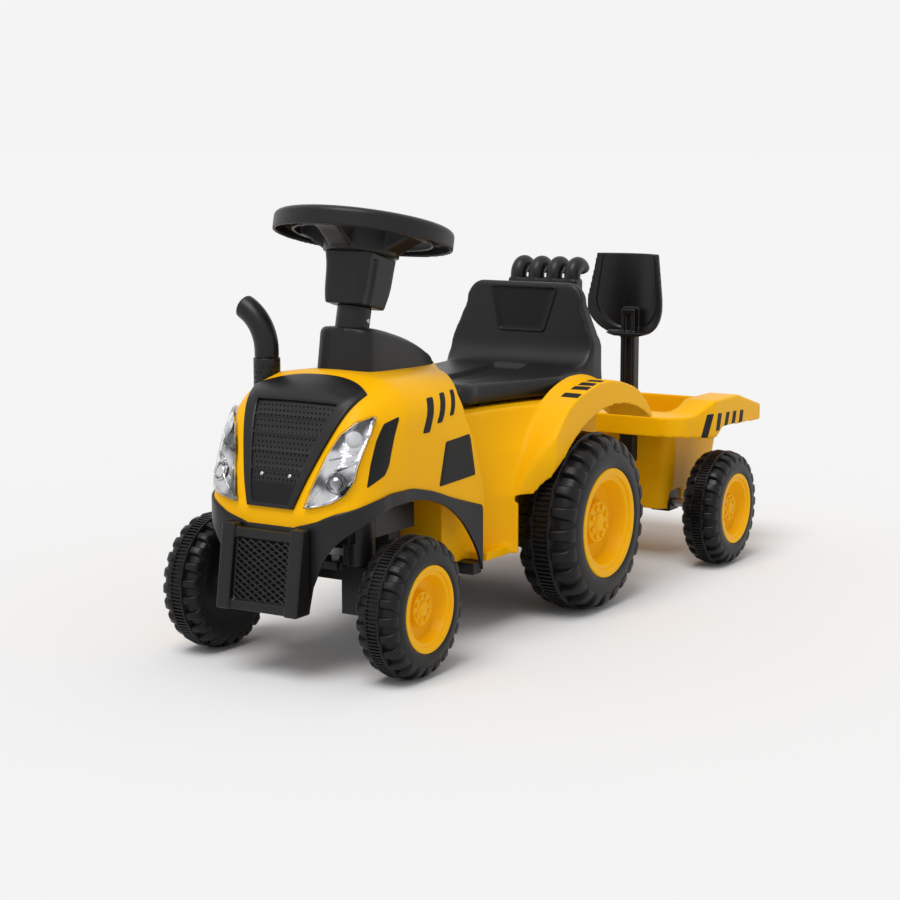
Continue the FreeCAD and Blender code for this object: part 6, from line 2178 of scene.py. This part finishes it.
# Light, floor and camera
@dataclass
class Studio:
    """Pale floor, soft light and the camera at the photograph's angle."""

    backdrop: float = 0.905
    fill: float = 0.62
    floor_tone: float = 0.785
    floor_reach: float = 60000.0
    floor_roughness: float = 0.9
    key_strength: float = 1.9
    key_softness: float = 34.0
    key_from: Point = (0.5, 0.02, 1.0)
    camera_place: Point = (1806.6, 1060.8, 489.7)
    camera_aim: Point = (-0.842, -0.5164, -0.1559)
    lens: float = 78.33
    sensor: float = 36.0
    view_end: float = 500.0

    def build(self) -> None:
        """Makes everything that isn't part of the toy."""
        bpy.context.scene.view_settings.view_transform = "Standard"
        self.world()
        self.floor()
        self.key()
        self.camera()

    def world(self) -> None:
        """Even fill light, seen as a pale backdrop."""
        world = bpy.data.worlds.new("Backdrop")
        world.use_nodes = True
        bpy.context.scene.world = world
        graph = Graph(world.node_tree)
        shown = world.node_tree.nodes["Background"]
        shown.inputs["Color"].default_value = (self.backdrop, self.backdrop, self.backdrop, 1.0)
        lit = graph.add("ShaderNodeBackground", {"Color": (1.0, 1.0, 1.0, 1.0), "Strength": self.fill})
        path = graph.add("ShaderNodeLightPath").outputs
        bounced = graph.math("MAXIMUM", path["Is Glossy Ray"], path["Is Transmission Ray"])
        seen = graph.math("MAXIMUM", path["Is Camera Ray"], bounced)
        both = graph.add("ShaderNodeMixShader", {0: seen, 1: lit.outputs[0], 2: shown.outputs[0]})
        graph.feed(world.node_tree.nodes["World Output"].inputs["Surface"], both.outputs[0])

    def floor(self) -> None:
        """Wide pale floor."""
        reach = self.floor_reach
        builder = MeshBuilder("floor")
        builder.grid([[(-reach, y, 0.0), (reach, y, 0.0)] for y in (-reach, reach)])
        floor = builder.build()
        material = bpy.data.materials.new("PaleFloor")
        material.use_nodes = True
        shader = material.node_tree.nodes["Principled BSDF"]
        shader.inputs["Base Color"].default_value = (self.floor_tone, self.floor_tone, self.floor_tone, 1.0)
        shader.inputs["Roughness"].default_value = self.floor_roughness
        shader.inputs["Specular IOR Level"].default_value = 0.0
        floor.data.materials.append(material)

    def key(self) -> None:
        """One wide soft light from above, towards the front."""
        light = bpy.data.lights.new("Key", "SUN")
        light.energy = self.key_strength
        light.angle = math.radians(self.key_softness)
        made = placed("Key", light)
        made.rotation_euler = Vector(self.key_from).to_track_quat("Z", "Y").to_euler()

    def camera(self) -> None:
        """Camera where the photograph was taken from."""
        data = bpy.data.cameras.new("Camera")
        data.lens = self.lens
        data.sensor_width = self.sensor
        data.clip_end = self.view_end
        made = placed("Camera", data)
        made.location = Vector(self.camera_place) * MM
        made.rotation_euler = Vector(self.camera_aim).to_track_quat("-Z", "Y").to_euler()
        bpy.context.scene.camera = made


def wheels() -> list[Wheel]:
    """The six wheels, each with its axle's place, its outer face, its radius and its width."""
    sizes = {Axle.FRONT: (328.0, 133.5, 66.5, 44.0), Axle.REAR: (0.0, 149.5, 94.0, 66.0),
             Axle.TRAILER: (-282.0, 172.0, 66.5, 44.0)}
    return [Wheel(axle, side, *sizes[axle]) for axle in Axle for side in Side]


def cad_finishes(nodes: dict[str, Object], record: dict) -> dict[str, Finish]:
    """Finish for each node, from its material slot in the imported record."""
    plain = (YELLOW, BLACK, TYRE, STEEL, LENS, CHROME, BUTTON)
    by_slot = {finish.slot: finish for finish in plain}
    return {part["node"]: by_slot[part["material_slot"]] for part in record["subparts"]
            if part["node"] in nodes}


def mouldings(nodes: dict[str, Object]) -> dict[str, Moulding]:
    """Pieces that are shown as smoothed copies of their nodes, by name."""
    # Name, node, body, finish, voxel, smoothing passes, and growth and bend where there are any
    rows = (("shovel_blade", "shovel", "shovel", BLACK, 1.1, 4),
            ("rake_tines", "rake", "rake", BLACK, 1.1, 6, 2.2),
            ("wheel_rim", "steering_wheel", "steering", BLACK, 1.3, 8, 0.0, flatten_rim),
            ("hub_cover", "steering_hub", "steering", BLACK, 1.1, 9, 0.0, taper_hub),
            ("stack_pipe", "exhaust_pipe", "tractor", BLACK, 1.0, 12, 1.3),
            ("guard_frame", "bumper_guard", "tractor", BLACK, 1.1, 8),
            ("seat_cover", "seat", "seat", BLACK, 2.0, 18, 0.0, groove_seat),
            ("tub_shell", "trailer_tub", "trailer", YELLOW, 2.0, 4),
            ("body_shell", "rear_body", "tractor", YELLOW, 2.0, 5, 0.0, round_fender))
    return {name: Moulding(name, node, body, finish, nodes[node], *sizes)
            for name, node, body, finish, *sizes in rows}


def main() -> None:
    """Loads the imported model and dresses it."""
    logging.basicConfig(level=logging.INFO, format="%(name)s: %(message)s")
    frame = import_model()
    nodes = frame["nodes"]
    CadFinish(cad_finishes(nodes, frame["record"])).dress(nodes)
    form = HoodForm()
    lamps = [Headlamp(form, side) for side in Side]
    shapes = mouldings(nodes)
    groups: list[SubAssembly] = [
        *wheels(), Hood(form), *lamps, Grille(form), Bumper(form), Cowl(), ExhaustCan(), *shapes.values(),
        GuardMesh(nodes["bumper_guard"]), SeatPlate(nodes["seat"]), ColumnScrew(nodes["column_tube"]),
        Stripes("wing_stripe", "trailer", shapes["tub_shell"], WING_STRIPES),
        Stripes("fender_stripe", "tractor", shapes["body_shell"], FENDER_STRIPES, above=True)]
    count = sum(group.dress() for group in groups)
    LOG.info("%d pieces made", count)
    Studio().build()


if __name__ == "__main__":
    main()
